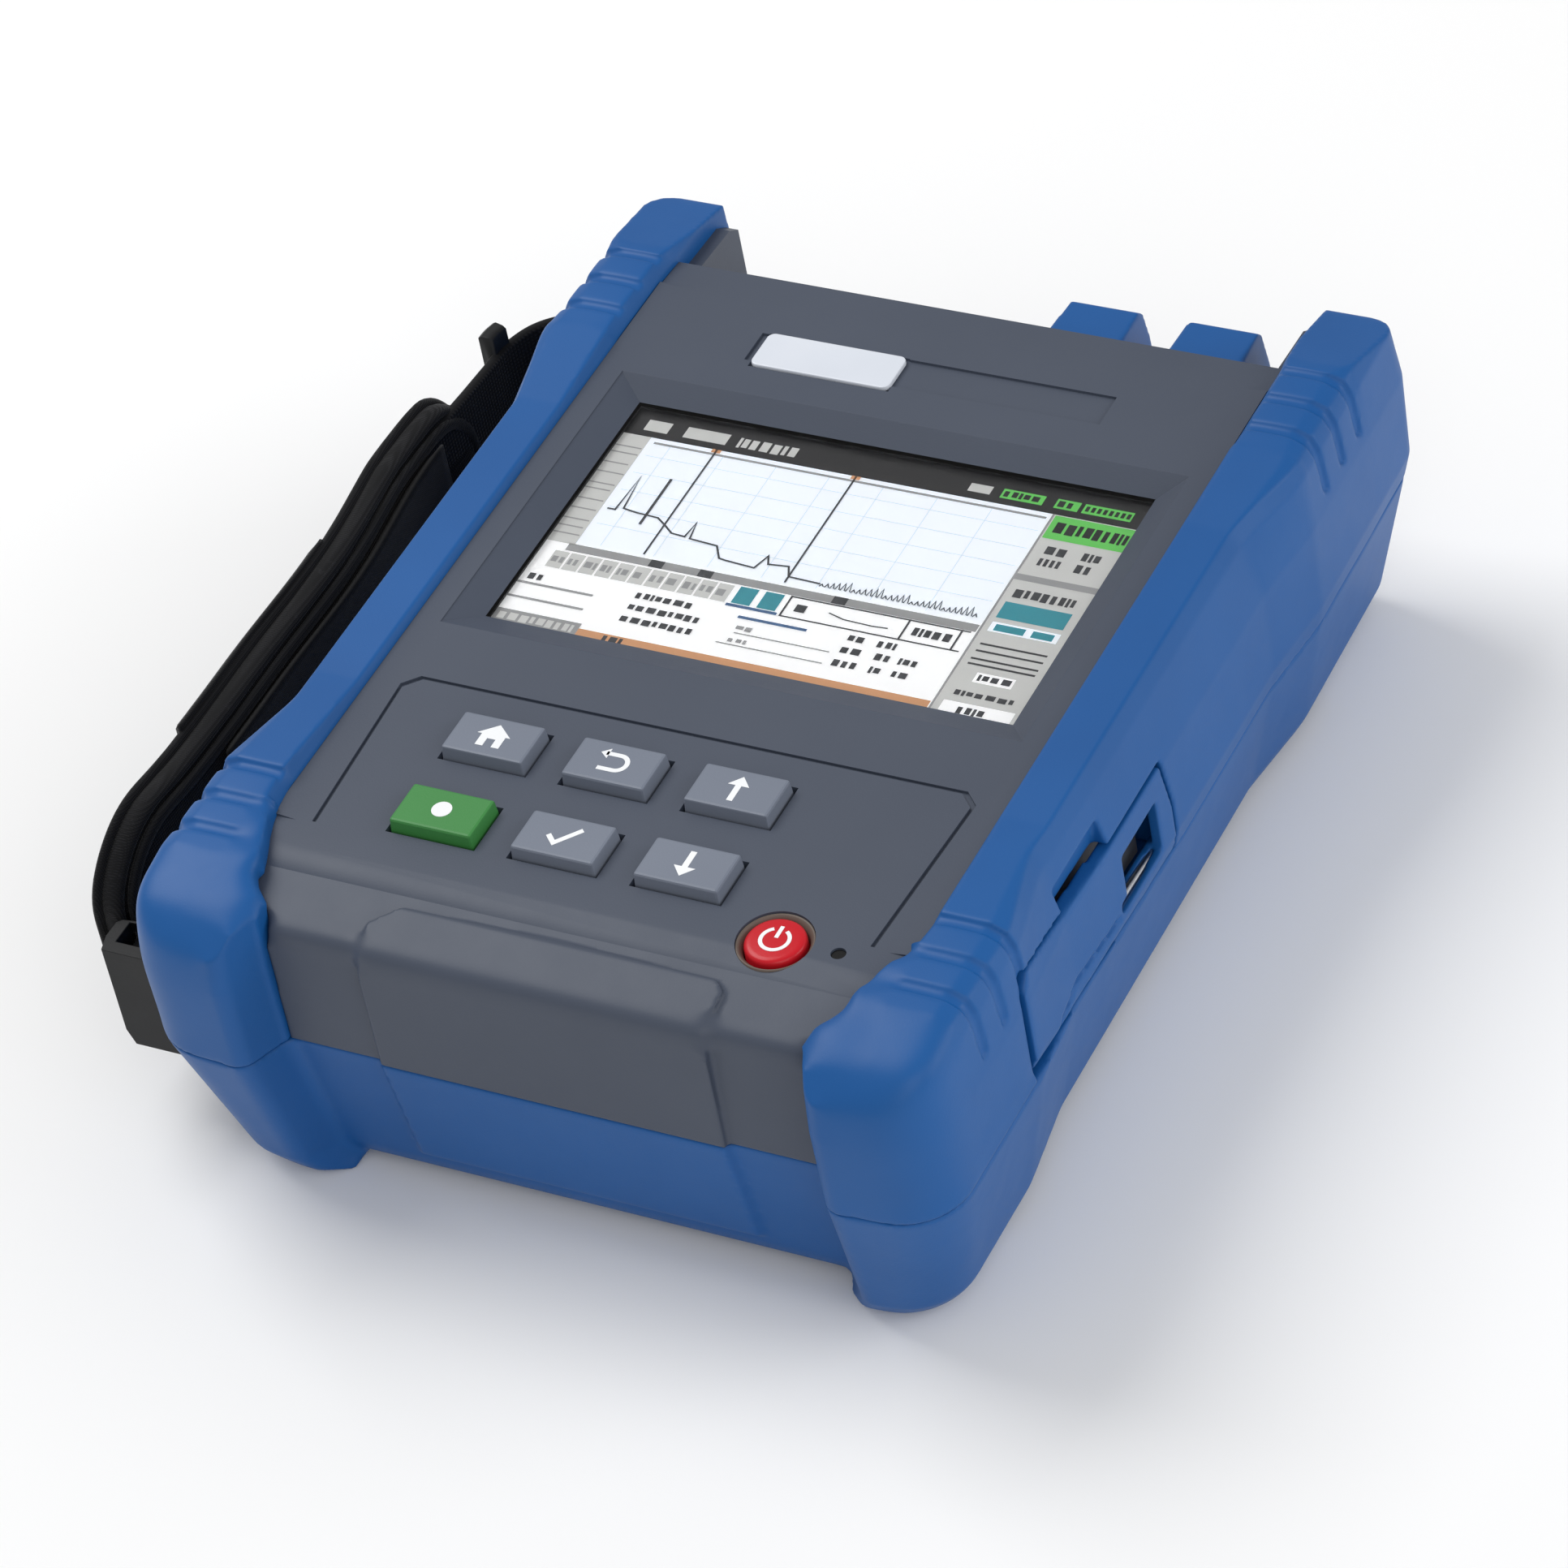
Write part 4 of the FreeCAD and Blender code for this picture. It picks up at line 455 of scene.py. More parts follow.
def rail_form(points, edges):
    """Shallower grip bands, full round crowns on the bumpers and a curved inner edge."""
    middle = MIDDLE_X / MM
    x, y, z = np.abs(points[:, 0] - middle), points[:, 1], points[:, 2]
    in_groove = np.logical_or(*(np.abs(y - place) < GROOVE_HALF for place in FRONT_GROOVES))
    pit = (y > PIT_Y[0]) & (y < PIT_Y[1]) & (x > PIT_X[0]) & (x < PIT_X[1]) & (z > PIT_FLOOR) & ~in_groove
    points[pit, 2] = RAIL_TOP
    inwards = np.interp(y, INNER_EDGE_Y, INNER_EDGE_IN) * rise(z, 66, 69) * rise(x, 77, 67)
    points[:, 0] -= np.sign(points[:, 0] - middle) * inwards
    bands = np.maximum(between(y, *FRONT_BANDS), between(y, *REAR_BANDS)) * rise(z, 37, 41)
    membrane = relax(points, edges, bands, 160)
    points = points + BAND_CUT * (membrane - points) * bands[:, None]
    crown = rise(y, -93, -98) * np.maximum(rise(z, 38, 43) * rise(x, 62.5, 66), rise(z, 68.6, 70.6))
    points = relax(points, edges, crown, 130)
    lip = rise(y, -77, -82) * rise(z, 69.6, 71.5) * rise(x, 71, 68)
    return relax(points, edges, lip, 50)


BROW_Y, BROW_Z = -102.6, 65.6          # the edge between the keypad slope and the front face


def cover_form(points, edges):
    """A rounded brow between the keypad slope and the front face."""
    away = np.hypot(points[:, 1] - BROW_Y, points[:, 2] - BROW_Z)
    return relax(points, edges, rise(away, 4.5, 2.0), 60)


def kept_side(mesh, y, front):
    """Keep the part of a mesh in front of, or behind, a plane across the case, and close the cut."""
    geometry = mesh.verts[:] + mesh.edges[:] + mesh.faces[:]
    cut = bmesh.ops.bisect_plane(mesh, geom=geometry, plane_co=(0, y, 0), plane_no=(0, 1, 0),
                                 clear_outer=front, clear_inner=not front)["geom_cut"]
    rim = [edge for edge in cut if isinstance(edge, bmesh.types.BMEdge)]
    bmesh.ops.triangle_fill(mesh, use_beauty=True, edges=rim)


COVER_SPLIT = -0.0895
COVER_BLEND = (COVER_SPLIT - 6 * MM, COVER_SPLIT - 0.5 * MM)
FLAT_SHADE = math.radians(40)          # edges sharper than this stay sharp in the shading


def moulded_cover(material):
    """The face plate: crisp lines round the screen and keys, a rounded brow in front of them."""
    front = sculpted(softened("top_cover", material, 0.45 * MM * FINE, 2), cover_form)
    rear = bpy.data.objects.new("cover_rear", NODES["top_cover"].data.copy())
    bpy.context.scene.collection.objects.link(rear)
    broken_edges(rear, 0.4 * MM, 24, 3)
    finished(rear)
    crisp = BVHTree.FromPolygons([v.co for v in rear.data.vertices],
                                 [f.vertices[:] for f in rear.data.polygons])
    for vertex in front.data.vertices:
        share = rise(vertex.co.y, *COVER_BLEND)
        if share > 0:
            vertex.co = vertex.co.lerp(crisp.find_nearest(vertex.co)[0], share)
    joined = bmesh.new()
    joined.from_mesh(rear.data)
    kept_side(joined, COVER_SPLIT, front=False)
    other = bmesh.new()
    other.from_mesh(front.data)
    kept_side(other, COVER_SPLIT, front=True)
    piece = bpy.data.meshes.new("cover_front_part")
    other.to_mesh(piece)
    joined.from_mesh(piece)
    joined.to_mesh(front.data)
    joined.free()
    other.free()
    bpy.data.objects.remove(rear)
    for polygon in front.data.polygons:
        polygon.use_smooth = True
        polygon.material_index = 0
    front.data.set_sharp_from_angle(angle=FLAT_SHADE)
    front.modifiers.new("even_shading", "WEIGHTED_NORMAL").keep_sharp = True
    return front


def broken_edges(obj, width, angle, segments):
    """Modifiers that join flat faces and break the sharp edges between them."""
    weld = obj.modifiers.new("weld", "WELD")
    weld.merge_threshold = 1e-5
    flat = obj.modifiers.new("flat_faces", "DECIMATE")
    flat.decimate_type = "DISSOLVE"
    flat.angle_limit = math.radians(0.6)
    bevel = obj.modifiers.new("edges", "BEVEL")
    bevel.width = width
    bevel.segments = segments
    bevel.limit_method = "ANGLE"
    bevel.angle_limit = math.radians(angle)
    bevel.use_clamp_overlap = True


def edged(node, material, width, angle=35, segments=2):
    """A CAD node as it is, with its sharp edges broken."""
    obj = paint(NODES[node], material)
    broken_edges(obj, width, angle, segments)
    obj.modifiers.new("even_shading", "WEIGHTED_NORMAL").keep_sharp = True
    return obj


# ---------------------------------------------------------------------------------------------
# Shells
# ---------------------------------------------------------------------------------------------
FINE = 1.0          # coarser cells while the builder looks at other pieces
KEY_EDGE = 0.5 * MM
softened("bottom_case", BLUE, 0.7 * MM * FINE, 4)
for rail in ("left_rail", "right_rail"):
    sculpted(softened(rail, BLUE, 0.45 * MM * FINE, 4), rail_form)
softened("side_door", BLUE, 0.5 * MM, 3)
moulded_cover(GREY)
for cap in ("dust_cap_a", "dust_cap_b"):
    softened(cap, BLUE, 0.5 * MM, 4)

for key in ("home_key", "back_key", "up_key", "enter_key", "down_key"):
    edged(key, KEY_GREY, KEY_EDGE)
edged("start_key", KEY_GREEN, KEY_EDGE)


TURN_STEPS = 72
CLOSED_RADIUS = 0.5          # a profile that ends inside this radius gets a closed top


def turned(name, profile, spot, material, body):
    """A ring or dome turned round the Z axis at a spot; profile gives radius and height in mm."""
    verts = []
    for radius, height in profile:
        for k in range(TURN_STEPS):
            turn = 2 * math.pi * k / TURN_STEPS
            verts.append((spot.x + radius * MM * math.cos(turn), spot.y + radius * MM * math.sin(turn),
                          height * MM))
    faces = band_faces(len(profile), TURN_STEPS)
    if profile[-1][0] < CLOSED_RADIUS:
        faces.append(end_caps(len(profile), TURN_STEPS)[1])
    return add_object(name, verts, faces, [material], body, smooth=True)


# Power button: a flange, a straight stem and a shallow dome, in a turned well; radius and height in mm.
BUTTON_TOP, FLANGE_THICK = 69.75, 1.0
FLANGE_RADIUS, STEM_RADIUS = 8.6, 5.9
DOME_EDGE = ((5.85, 1.1), (5.75, 0.6), (5.5, 0.28), (5.1, 0.1), (4.4, 0.02), (0.2, 0.0))
WELL_TOP, WELL_DEEP, WELL_RADIUS = 69.1, 4.0, 7.36
WELL_EDGE = ((7.2, -0.12), (6.9, 0.1), (6.3, 0.9), (6.15, 1.6), (6.15, WELL_DEEP))
button = turned("power_button_dome",
                [(FLANGE_RADIUS, BUTTON_FOOT), (FLANGE_RADIUS, BUTTON_FOOT + FLANGE_THICK),
                 (STEM_RADIUS, BUTTON_FOOT + FLANGE_THICK)]
                + [(radius, BUTTON_TOP - below) for radius, below in DOME_EDGE],
                centre("power_button"), KEY_RED, "power_button_body")
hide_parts("power_button")
turned("power_well_ring",
       [(WELL_RADIUS, WELL_TOP - WELL_DEEP), (WELL_RADIUS, WELL_TOP)]
       + [(radius, WELL_TOP - below) for radius, below in WELL_EDGE],
       centre("power_button"), WELL_TAN, "case")

for node_name, material, width in (
        ("blank_badge", BADGE_FACE, 0.3), ("status_lamp", LENS_BLACK, 0.1), ("window_gasket", BLACK, 0.05),
        ("lcd_module", BLACK, 0.1), ("display_tray", STEEL, 0.1), ("tray_screws", STEEL, 0.1),
        ("key_mat", SILICONE, 0.2), ("key_board", BOARD, 0.1), ("port_panel", INNER_GREY, 0.2),
        ("fibre_adapter_a", NICKEL, 0.15), ("fibre_adapter_b", NICKEL, 0.15), ("cap_pins", STEEL, 0.1),
        ("door_pin", STEEL, 0.1), ("connector_block", INNER_GREY, 0.2), ("dc_jack", BLACK, 0.15),
        ("usb_jack", STEEL, 0.1), ("lan_jack", STEEL, 0.1), ("main_board", BOARD, 0.1),
        ("board_screws", STEEL, 0.1), ("optical_module", STEEL, 0.3), ("battery_pack", SLEEVE, 1.2),
        ("battery_cover", BLUE, 0.4), ("hatch_screws", ZINC_BLACK, 0.15),
        ("case_screws", ZINC_BLACK, 0.15), ("tilt_stand", GREY, 0.5), ("stand_pin", STEEL, 0.1),
        ("front_strap_lug", LUG, 0.6), ("rear_strap_lug", LUG, 0.6)):
    edged(node_name, material, width * MM)
paint(NODES["screen_window"], GLASS)

# ---------------------------------------------------------------------------------------------
# Flat prints and drawn shapes
# ---------------------------------------------------------------------------------------------
INK_THICK = 0.00008
TIGHTEST_TURN = 0.4          # how far a drawn line's corner may stretch


def arc(x, y, radius, start, end, steps=18):
    """Points on a circular arc, angles in degrees."""
    turns = [math.radians(start + (end - start) * i / steps) for i in range(steps + 1)]
    return [(x + radius * math.cos(t), y + radius * math.sin(t)) for t in turns]


def stroke(path, width):
    """The outline of a line of even width along a path."""
    left, right_side = [], []
    for i, (x, y) in enumerate(path):
        before = Vector(path[i]) - Vector(path[i - 1]) if i else None
        after = Vector(path[i + 1]) - Vector(path[i]) if i + 1 < len(path) else None
        first = (before or after).normalized()
        second = (after or before).normalized()
        way = (first + second).normalized()
        across = Vector((-way.y, way.x)) * (width / 2 / max(TIGHTEST_TURN, way.dot(first)))
        left.append((x + across.x, y + across.y))
        right_side.append((x - across.x, y - across.y))
    return left + right_side[::-1]


def printed(name, outlines, x, y, z, body):
    """White ink on a flat top: each outline, in mm, raised by the ink's thickness."""
    mesh = bmesh.new()
    for outline in outlines:
        verts = [mesh.verts.new((x + px * MM, y + py * MM, z)) for px, py in outline]
        face = mesh.faces.new(verts)
        if face.normal.z < 0:
            face.normal_flip()
        face.normal_update()
        raised = bmesh.ops.extrude_face_region(mesh, geom=[face])
        for item in raised["geom"]:
            if isinstance(item, bmesh.types.BMVert):
                item.co.z += INK_THICK
    bmesh.ops.triangulate(mesh, faces=mesh.faces[:])
    bmesh.ops.recalc_face_normals(mesh, faces=mesh.faces[:])
    data = bpy.data.meshes.new(name)
    mesh.to_mesh(data)
    mesh.free()
    obj = bpy.data.objects.new(name, data)
    bpy.context.scene.collection.objects.link(obj)
    data.materials.append(PRINT_WHITE)
    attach(obj, body)


HOUSE = [[(-3.5, 0.3), (0, 3.2), (3.5, 0.3), (2.5, 0.3), (2.5, -2.8), (0.9, -2.8), (0.9, -0.7),
          (-0.9, -0.7), (-0.9, -2.8), (-2.5, -2.8), (-2.5, 0.3)][::-1]]
BACK = [stroke([(-2.4, 2.0)] + arc(0.7, 0.0, 2.0, 90, -90) + [(-2.6, -2.0)], 0.95)[::-1],
        [(-3.6, 2.0), (-1.9, 3.3), (-1.9, 0.7)]]
UP_ARROW = [[(-0.6, -3.2), (0.6, -3.2), (0.6, 0.9), (2.2, 0.9), (0, 3.3), (-2.2, 0.9), (-0.6, 0.9)]]
DOWN_ARROW = [[(x, -y) for x, y in UP_ARROW[0]][::-1]]
DOT = [arc(0, 0, 2.0, 0, 345, 23)]
TICK = [stroke([(-2.9, -0.3), (-1.0, -2.1), (3.0, 2.4)], 1.0)[::-1]]
POWER = [stroke(arc(0, 0, 2.7, 62, -242, 30), 0.75)[::-1],
         [(-0.38, 0.4), (0.38, 0.4), (0.38, 3.4), (-0.38, 3.4)]]
for key, drawing in (("home_key", HOUSE), ("back_key", BACK), ("up_key", UP_ARROW), ("start_key", DOT),
                     ("enter_key", TICK), ("down_key", DOWN_ARROW), ("power_button", POWER)):
    spot = centre(key)
    top = BUTTON_TOP * MM if key == "power_button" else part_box(key)[1].z
    printed(key + "_icon", drawing, spot.x, spot.y, top, body_of(key))

# ---------------------------------------------------------------------------------------------
# Display picture: a generic measuring screen, in units of an eighth of a millimetre
# ---------------------------------------------------------------------------------------------
WHITE, HEAD, PANEL, MID, INK, GREEN, TEAL, TAN, LINE, GRID, SKY = range(11)
TONES = [(250, 251, 252), (22, 22, 25), (190, 191, 189), (140, 141, 142), (52, 54, 58), (92, 188, 84),
         (40, 132, 146), (196, 142, 100), (58, 92, 132), (208, 217, 226), (240, 247, 255)]
GLOW = 0.25
LIT = [picture(f"display_tone_{number}", rgb(*tone), GLOW) for number, tone in enumerate(TONES)]
PICTURE_WIDE, PICTURE_HIGH = 900, 540
drawn = []


def patch(x0, y0, x1, y1, tone, layer=1):
    """A plain rectangle; higher layers lie over lower ones."""
    drawn.append(([(x0, y0), (x1, y0), (x1, y1), (x0, y1)], tone, layer))


def line(path, width, tone, layer=3):
    """A drawn line of even width."""
    drawn.append((stroke(path, width)[::-1], tone, layer))


def words(x0, x1, y0, y1, tone=INK, layer=3, seed=1):
    """A line of unreadable text: short blocks of uneven width."""
    x = x0
    step = seed
    while x < x1 - 4:
        step = (step * 7 + 5) % 11
        wide = 5 + step
        patch(x, y0 + (step % 3), min(x + wide, x1), y1 - (step % 2), tone, layer)
        x += wide + 3 + (step % 4)


patch(0, 0, PICTURE_WIDE, PICTURE_HIGH, WHITE, 0)
patch(0, 478, PICTURE_WIDE, PICTURE_HIGH, HEAD)
patch(0, 205, 50, 478, PANEL)
for row in (226, 244, 262, 288, 312, 338, 352, 380, 404, 430, 446):
    patch(0, row, 48 - row % 5, row + 3, MID, 2)
patch(28, 492, 70, 518, PANEL, 2)
patch(98, 492, 174, 518, PANEL, 2)
words(193, 296, 492, 516, PANEL, 2, 4)
patch(598, 494, 636, 513, PANEL, 2)
for x0, x1 in ((654, 726), (746, 786), (793, 876)):
    patch(x0, 492, x1, 514, GREEN, 2)
    words(x0 + 4, x1 - 3, 496, 510, HEAD, 3, x0 % 9)
patch(50, 210, 750, 478, SKY)
for height in (262, 305, 348, 391, 434):
    patch(60, height, 746, height + 1.5, GRID, 2)
for place in (90, 184, 278, 372, 466, 560, 654):
    patch(place, 214, place + 1.5, 466, GRID, 2)
patch(60, 464, 746, 469, MID, 2)
patch(166, 214, 169.5, 478, INK, 4)
patch(412, 214, 415.5, 478, INK, 4)
patch(126, 278, 131, 392, INK, 4)
patch(160, 470, 176, 478, TAN, 4)
patch(406, 470, 422, 478, TAN, 4)
line([(60, 300), (74, 300), (78, 384), (86, 306), (112, 302), (150, 300), (170, 286), (188, 272), (212, 270),
      (216, 306), (222, 268), (272, 264), (288, 238), (300, 236), (352, 232), (362, 264), (370, 246),
      (404, 250), (414, 228), (470, 226)], 3.4, INK, 5)
for number, place in enumerate(range(470, 740, 9)):
    tall = (number * 37) % 17
    line([(place, 220), (place + 3, 226 + tall), (place + 7, 221)], 2.0, INK, 5)
patch(40, 190, 750, 207, MID)
for place in (186, 272, 504):
    patch(place, 190, place + 24, 207, INK, 2)
for number in range(11):
    patch(26 + number * 29, 146, 52 + number * 29, 186, PANEL, 2)
    words(29 + number * 29, 50 + number * 29, 158, 174, MID, 3, number)
patch(352, 148, 384, 187, TEAL, 3)
patch(396, 148, 428, 187, TEAL, 3)
patch(346, 140, 434, 146, LINE, 3)
patch(438, 140, 744, 143, INK, 2)
patch(438, 186, 744, 189, INK, 2)
for place in (438, 640, 728):
    patch(place, 140, place + 3.5, 189, INK, 3)
patch(456, 156, 474, 173, INK, 3)
line([(512, 168), (540, 160), (590, 158), (616, 160)], 2.5, INK, 3)
words(656, 720, 155, 174, INK, 3, 3)
for row, (x0, x1) in zip((116, 88, 60), ((200, 296), (200, 328), (200, 326))):
    words(x0, x1, row, row + 14, INK, 3, row)
for row, ends in zip((116, 88, 58), (((566, 602), (616, 654)), ((566, 602), (624, 652), (664, 694)),
                                    ((566, 606), (628, 654), (666, 694)))):
    for x0, x1 in ends:
        words(x0, x1, row, row + 15, INK, 3, row + x0)
patch(378, 118, 496, 124, LINE, 3)
patch(388, 84, 552, 86.5, MID, 3)
patch(370, 57, 552, 59.5, MID, 3)
words(386, 418, 92, 102, MID, 3, 2)
words(386, 418, 64, 73, MID, 3, 6)
for row in (100, 66):
    patch(0, row, 134, row + 5, MID, 3)
words(12, 44, 112, 126, INK, 3, 8)
patch(0, 8, 148, 38, MID, 2)
words(8, 140, 14, 31, PANEL, 3, 5)
patch(148, 4, 750, 27, TAN, 2)
words(194, 228, 8, 23, INK, 3, 9)
patch(752, 0, 756, 478, MID, 2)
patch(756, 0, 900, 478, PANEL, 1)
patch(758, 422, 898, 476, GREEN, 2)
words(768, 890, 436, 462, HEAD, 3, 7)
for x0, x1 in ((776, 812), (838, 872)):
    for row in (386, 358):
        words(x0, x1, row, row + 19, INK, 3, row + x0)
patch(756, 320, 900, 334, MID, 2)
words(770, 872, 280, 300, INK, 3, 10)
patch(766, 230, 878, 268, TEAL, 3)
patch(766, 198, 880, 220, SKY, 2)
patch(774, 201, 824, 216, TEAL, 3)
patch(836, 201, 872, 216, TEAL, 3)
for row in (166, 150, 132, 120):
    patch(768, row, 880, row + 4, INK, 3)
patch(792, 84, 856, 106, WHITE, 2)
words(797, 852, 88, 102, INK, 3, 4)
words(776, 876, 50, 62, INK, 3, 3)
patch(768, 2, 886, 36, WHITE, 2)
words(796, 846, 12, 28, INK, 3, 6)

LAP = 2.2 * MM                                   # what the window's frame hides on each side
FIRST_LAYER, LAYER_STEP = 0.05 * MM, 0.03 * MM
unit_x = (WINDOW_HIGH.x - WINDOW_LOW.x - 2 * LAP) / PICTURE_WIDE
unit_y = (WINDOW_HIGH.y - WINDOW_LOW.y - 2 * LAP) / PICTURE_HIGH
verts, faces, tones = [], [], []
for outline, tone, layer in drawn:
    base = len(verts)
    height = LCD_TOP + FIRST_LAYER + LAYER_STEP * layer
    verts += [(WINDOW_LOW.x + LAP + px * unit_x, WINDOW_LOW.y + LAP + py * unit_y, height)
              for px, py in outline]
    faces.append(list(range(base, len(verts))))
    tones.append(tone)
add_object("display_picture", verts, faces, LIT, body_of("lcd_module"), tones)

# ---------------------------------------------------------------------------------------------
# Hand strap: padded cloth with bound edges, an outer flap and webbing to the two lugs
# ---------------------------------------------------------------------------------------------
PAD_REAR = PAD_HIGH.y - 15 * MM     # the cushion ends here; webbing runs on to the rear lug
PAD_MIDDLE = (PAD_LOW.y + PAD_REAR) / 2
PAD_LONG = PAD_REAR - PAD_LOW.y
PAD_HEM = 1.4 * MM                  # from the pad's rim to the cushion inside it
TOP_FALL, LOW_RISE = (7 * MM, 9 * MM), (9 * MM, 2 * MM)     # at the rear end and at the front end


def pad_top(y):
    """Height of the pad's upper edge: it sways a little and falls at both ends."""
    rear = rise(y, PAD_REAR - 12 * MM, PAD_REAR + 3 * MM)
    front = rise(y, PAD_LOW.y + 22 * MM, PAD_LOW.y - 4 * MM)
    sway = 0.6 * MM * math.sin(y * 58 + 0.9) + 0.4 * MM * math.sin(y * 131)
    return PAD_HIGH.z + sway - TOP_FALL[0] * rear ** 1.4 - TOP_FALL[1] * front ** 1.5


def pad_low(y):
    """Height of the pad's lower edge: it rises at both ends."""
    rear = rise(y, PAD_REAR - 16 * MM, PAD_REAR + 4 * MM)
    front = rise(y, PAD_LOW.y + 8 * MM, PAD_LOW.y - 4 * MM)
    return PAD_LOW.z + LOW_RISE[0] * rear ** 1.5 + LOW_RISE[1] * front ** 1.5


# The pad's bow: how far its middle plane stands in from the outermost plane, along its length.
BOW_PLACES = [y * MM for y in (-89, -78, -52, -36, -12, 6, 18, 29, 38, 48, 60)]
BOW_DEPTHS = [d * MM for d in (6.6, 8.0, 8.6, 9.2, 9.0, 8.9, 8.1, 6.6, 5.9, 5.7, 6.6)]


def pad_x(y):
    """The pad's middle plane, bowed and slightly rippled along its length."""
    near = [float(np.interp(y + step * MM, BOW_PLACES, BOW_DEPTHS)) for step in (-6, -3, 0, 3, 6)]
    return PAD_LOW.x + sum(near) / len(near) + 0.3 * MM * math.sin(y * 120 + 2.0)


def powered(value, power):
    """A power that keeps the sign."""
    return math.copysign(abs(value) ** power, value)


INNER_CHANNELS, OUTER_SEAM = (-0.36, 0.36), 0.8      # places across the pad, -1 low to 1 high
SQUARENESS = 0.55                                    # below 1 makes the pad's section squarer


def puff_at(y, t, inner):
    """The cushion's half thickness in mm: full between its sewn channels, drawn in at them."""
    puff = 3.7 + 0.35 * math.cos(y * 95 + 0.6) * (1 - t * t)
    if inner:
        channels = sum(math.exp(-((t - at) / 0.055) ** 2) for at in INNER_CHANNELS)
        return puff + 0.9 * math.cos(math.pi * t * 1.39) * (1 - t * t) - 1.9 * channels
    return puff - 1.2 * math.exp(-((abs(t) - OUTER_SEAM) / 0.05) ** 2)


def pad_body():
    """A filled cushion with two sewn channels along its inner face and two seams along the outer."""
    stations, around = 120, 88
    verts = []
    for i in range(stations + 1):
        reach = math.sin((-1 + 2 * i / stations) * math.pi / 2)
        y = PAD_MIDDLE + (PAD_LONG / 2 - 0.8 * MM) * reach
        end = max(0.02, 1 - abs(reach) ** 16) ** 0.5
        top, low = pad_top(y) - PAD_HEM, pad_low(y) + PAD_HEM
        middle, half = (top + low) / 2, (top - low) / 2
        for k in range(around):
            turn = 2 * math.pi * k / around
            t, side = powered(math.cos(turn), SQUARENESS), powered(math.sin(turn), 0.8)
            x = pad_x(y) + side * end * puff_at(y, t, side > 0) * MM
            verts.append((x, y, middle + t * half * (0.35 + 0.65 * end)))
    rings = stations + 1
    faces = band_faces(rings, around) + end_caps(rings, around)
    return add_object("strap_cushion", verts, faces, [PAD_CLOTH], smooth=True)


def rim_path(inset):
    """Points round the pad's edge, as (y, z), with rounded corners."""
    half, count = PAD_LONG / 2 - inset, 180
    points = []
    for i in range(count):
        turn = 2 * math.pi * i / count
        y = PAD_MIDDLE + half * powered(math.cos(turn), 0.16)
        top, low = pad_top(y) - inset, pad_low(y) + inset
        points.append((y, (top + low) / 2 + powered(math.sin(turn), SQUARENESS) * (top - low) / 2))
    return points


def even(points, spacing):
    """The same closed line with evenly spaced points."""
    loop = [Vector(p) for p in points] + [Vector(points[0])]
    lengths = [0.0]
    for a, b in zip(loop, loop[1:]):
        lengths.append(lengths[-1] + (b - a).length)
    count = max(8, int(lengths[-1] / spacing))
    result, j = [], 0
    for i in range(count):
        target = lengths[-1] * i / count
        while lengths[j + 1] < target:
            j += 1
        share = (target - lengths[j]) / max(1e-9, lengths[j + 1] - lengths[j])
        result.append(loop[j].lerp(loop[j + 1], share))
    return result


def rim_tube(name, inset, off_x, wide, high, material):
    """A bound edge: an oval tube along the pad's rim."""
    path = even(rim_path(inset), 1.6 * MM)
    around = 14
    verts = []
    for i, point in enumerate(path):
        ahead, back = path[(i + 1) % len(path)], path[i - 1]
        along = (ahead - back).normalized()
        out = Vector((along.y, -along.x))
        x = pad_x(point.x) + off_x
        for k in range(around):
            turn = 2 * math.pi * k / around
            reach = out * (math.cos(turn) * high)
            verts.append((x + math.sin(turn) * wide, point.x + reach.x, point.y + reach.y))
    return add_object(name, verts, band_faces(len(path), around, closed=True), [material], smooth=True)


STITCH_LONG, STITCH_THICK = 2.3 * MM, 0.5 * MM
STITCH_SHAPE = ((-0.5, 0.25), (-0.3, 1.0), (0.3, 1.0), (0.5, 0.25))      # place along it, thickness there


def stitches(name, spots):
    """A row of thread stitches: each a small rounded bead at a place, along one way, facing another."""
    around = 6
    bead = band_faces(len(STITCH_SHAPE), around) + end_caps(len(STITCH_SHAPE), around)
    verts, faces = [], []
    for middle, along, out in spots:
        along, out = Vector(along), Vector(out)
        across = along.cross(out)
        base = len(verts)
        for share, size in STITCH_SHAPE:
            for k in range(around):
                turn = math.pi * 2 * k / around
                verts.append(Vector(middle) + along * (share * STITCH_LONG)
                             + (out * math.cos(turn) + across * math.sin(turn)) * (STITCH_THICK / 2 * size))
        faces += [tuple(base + k for k in face) for face in bead]
    return add_object(name, verts, faces, [THREAD], smooth=True)


SOFT_FROM, SOFT_SHARE = 0.93, 0.75      # a cloth layer thins from here outwards, by this much at its edge


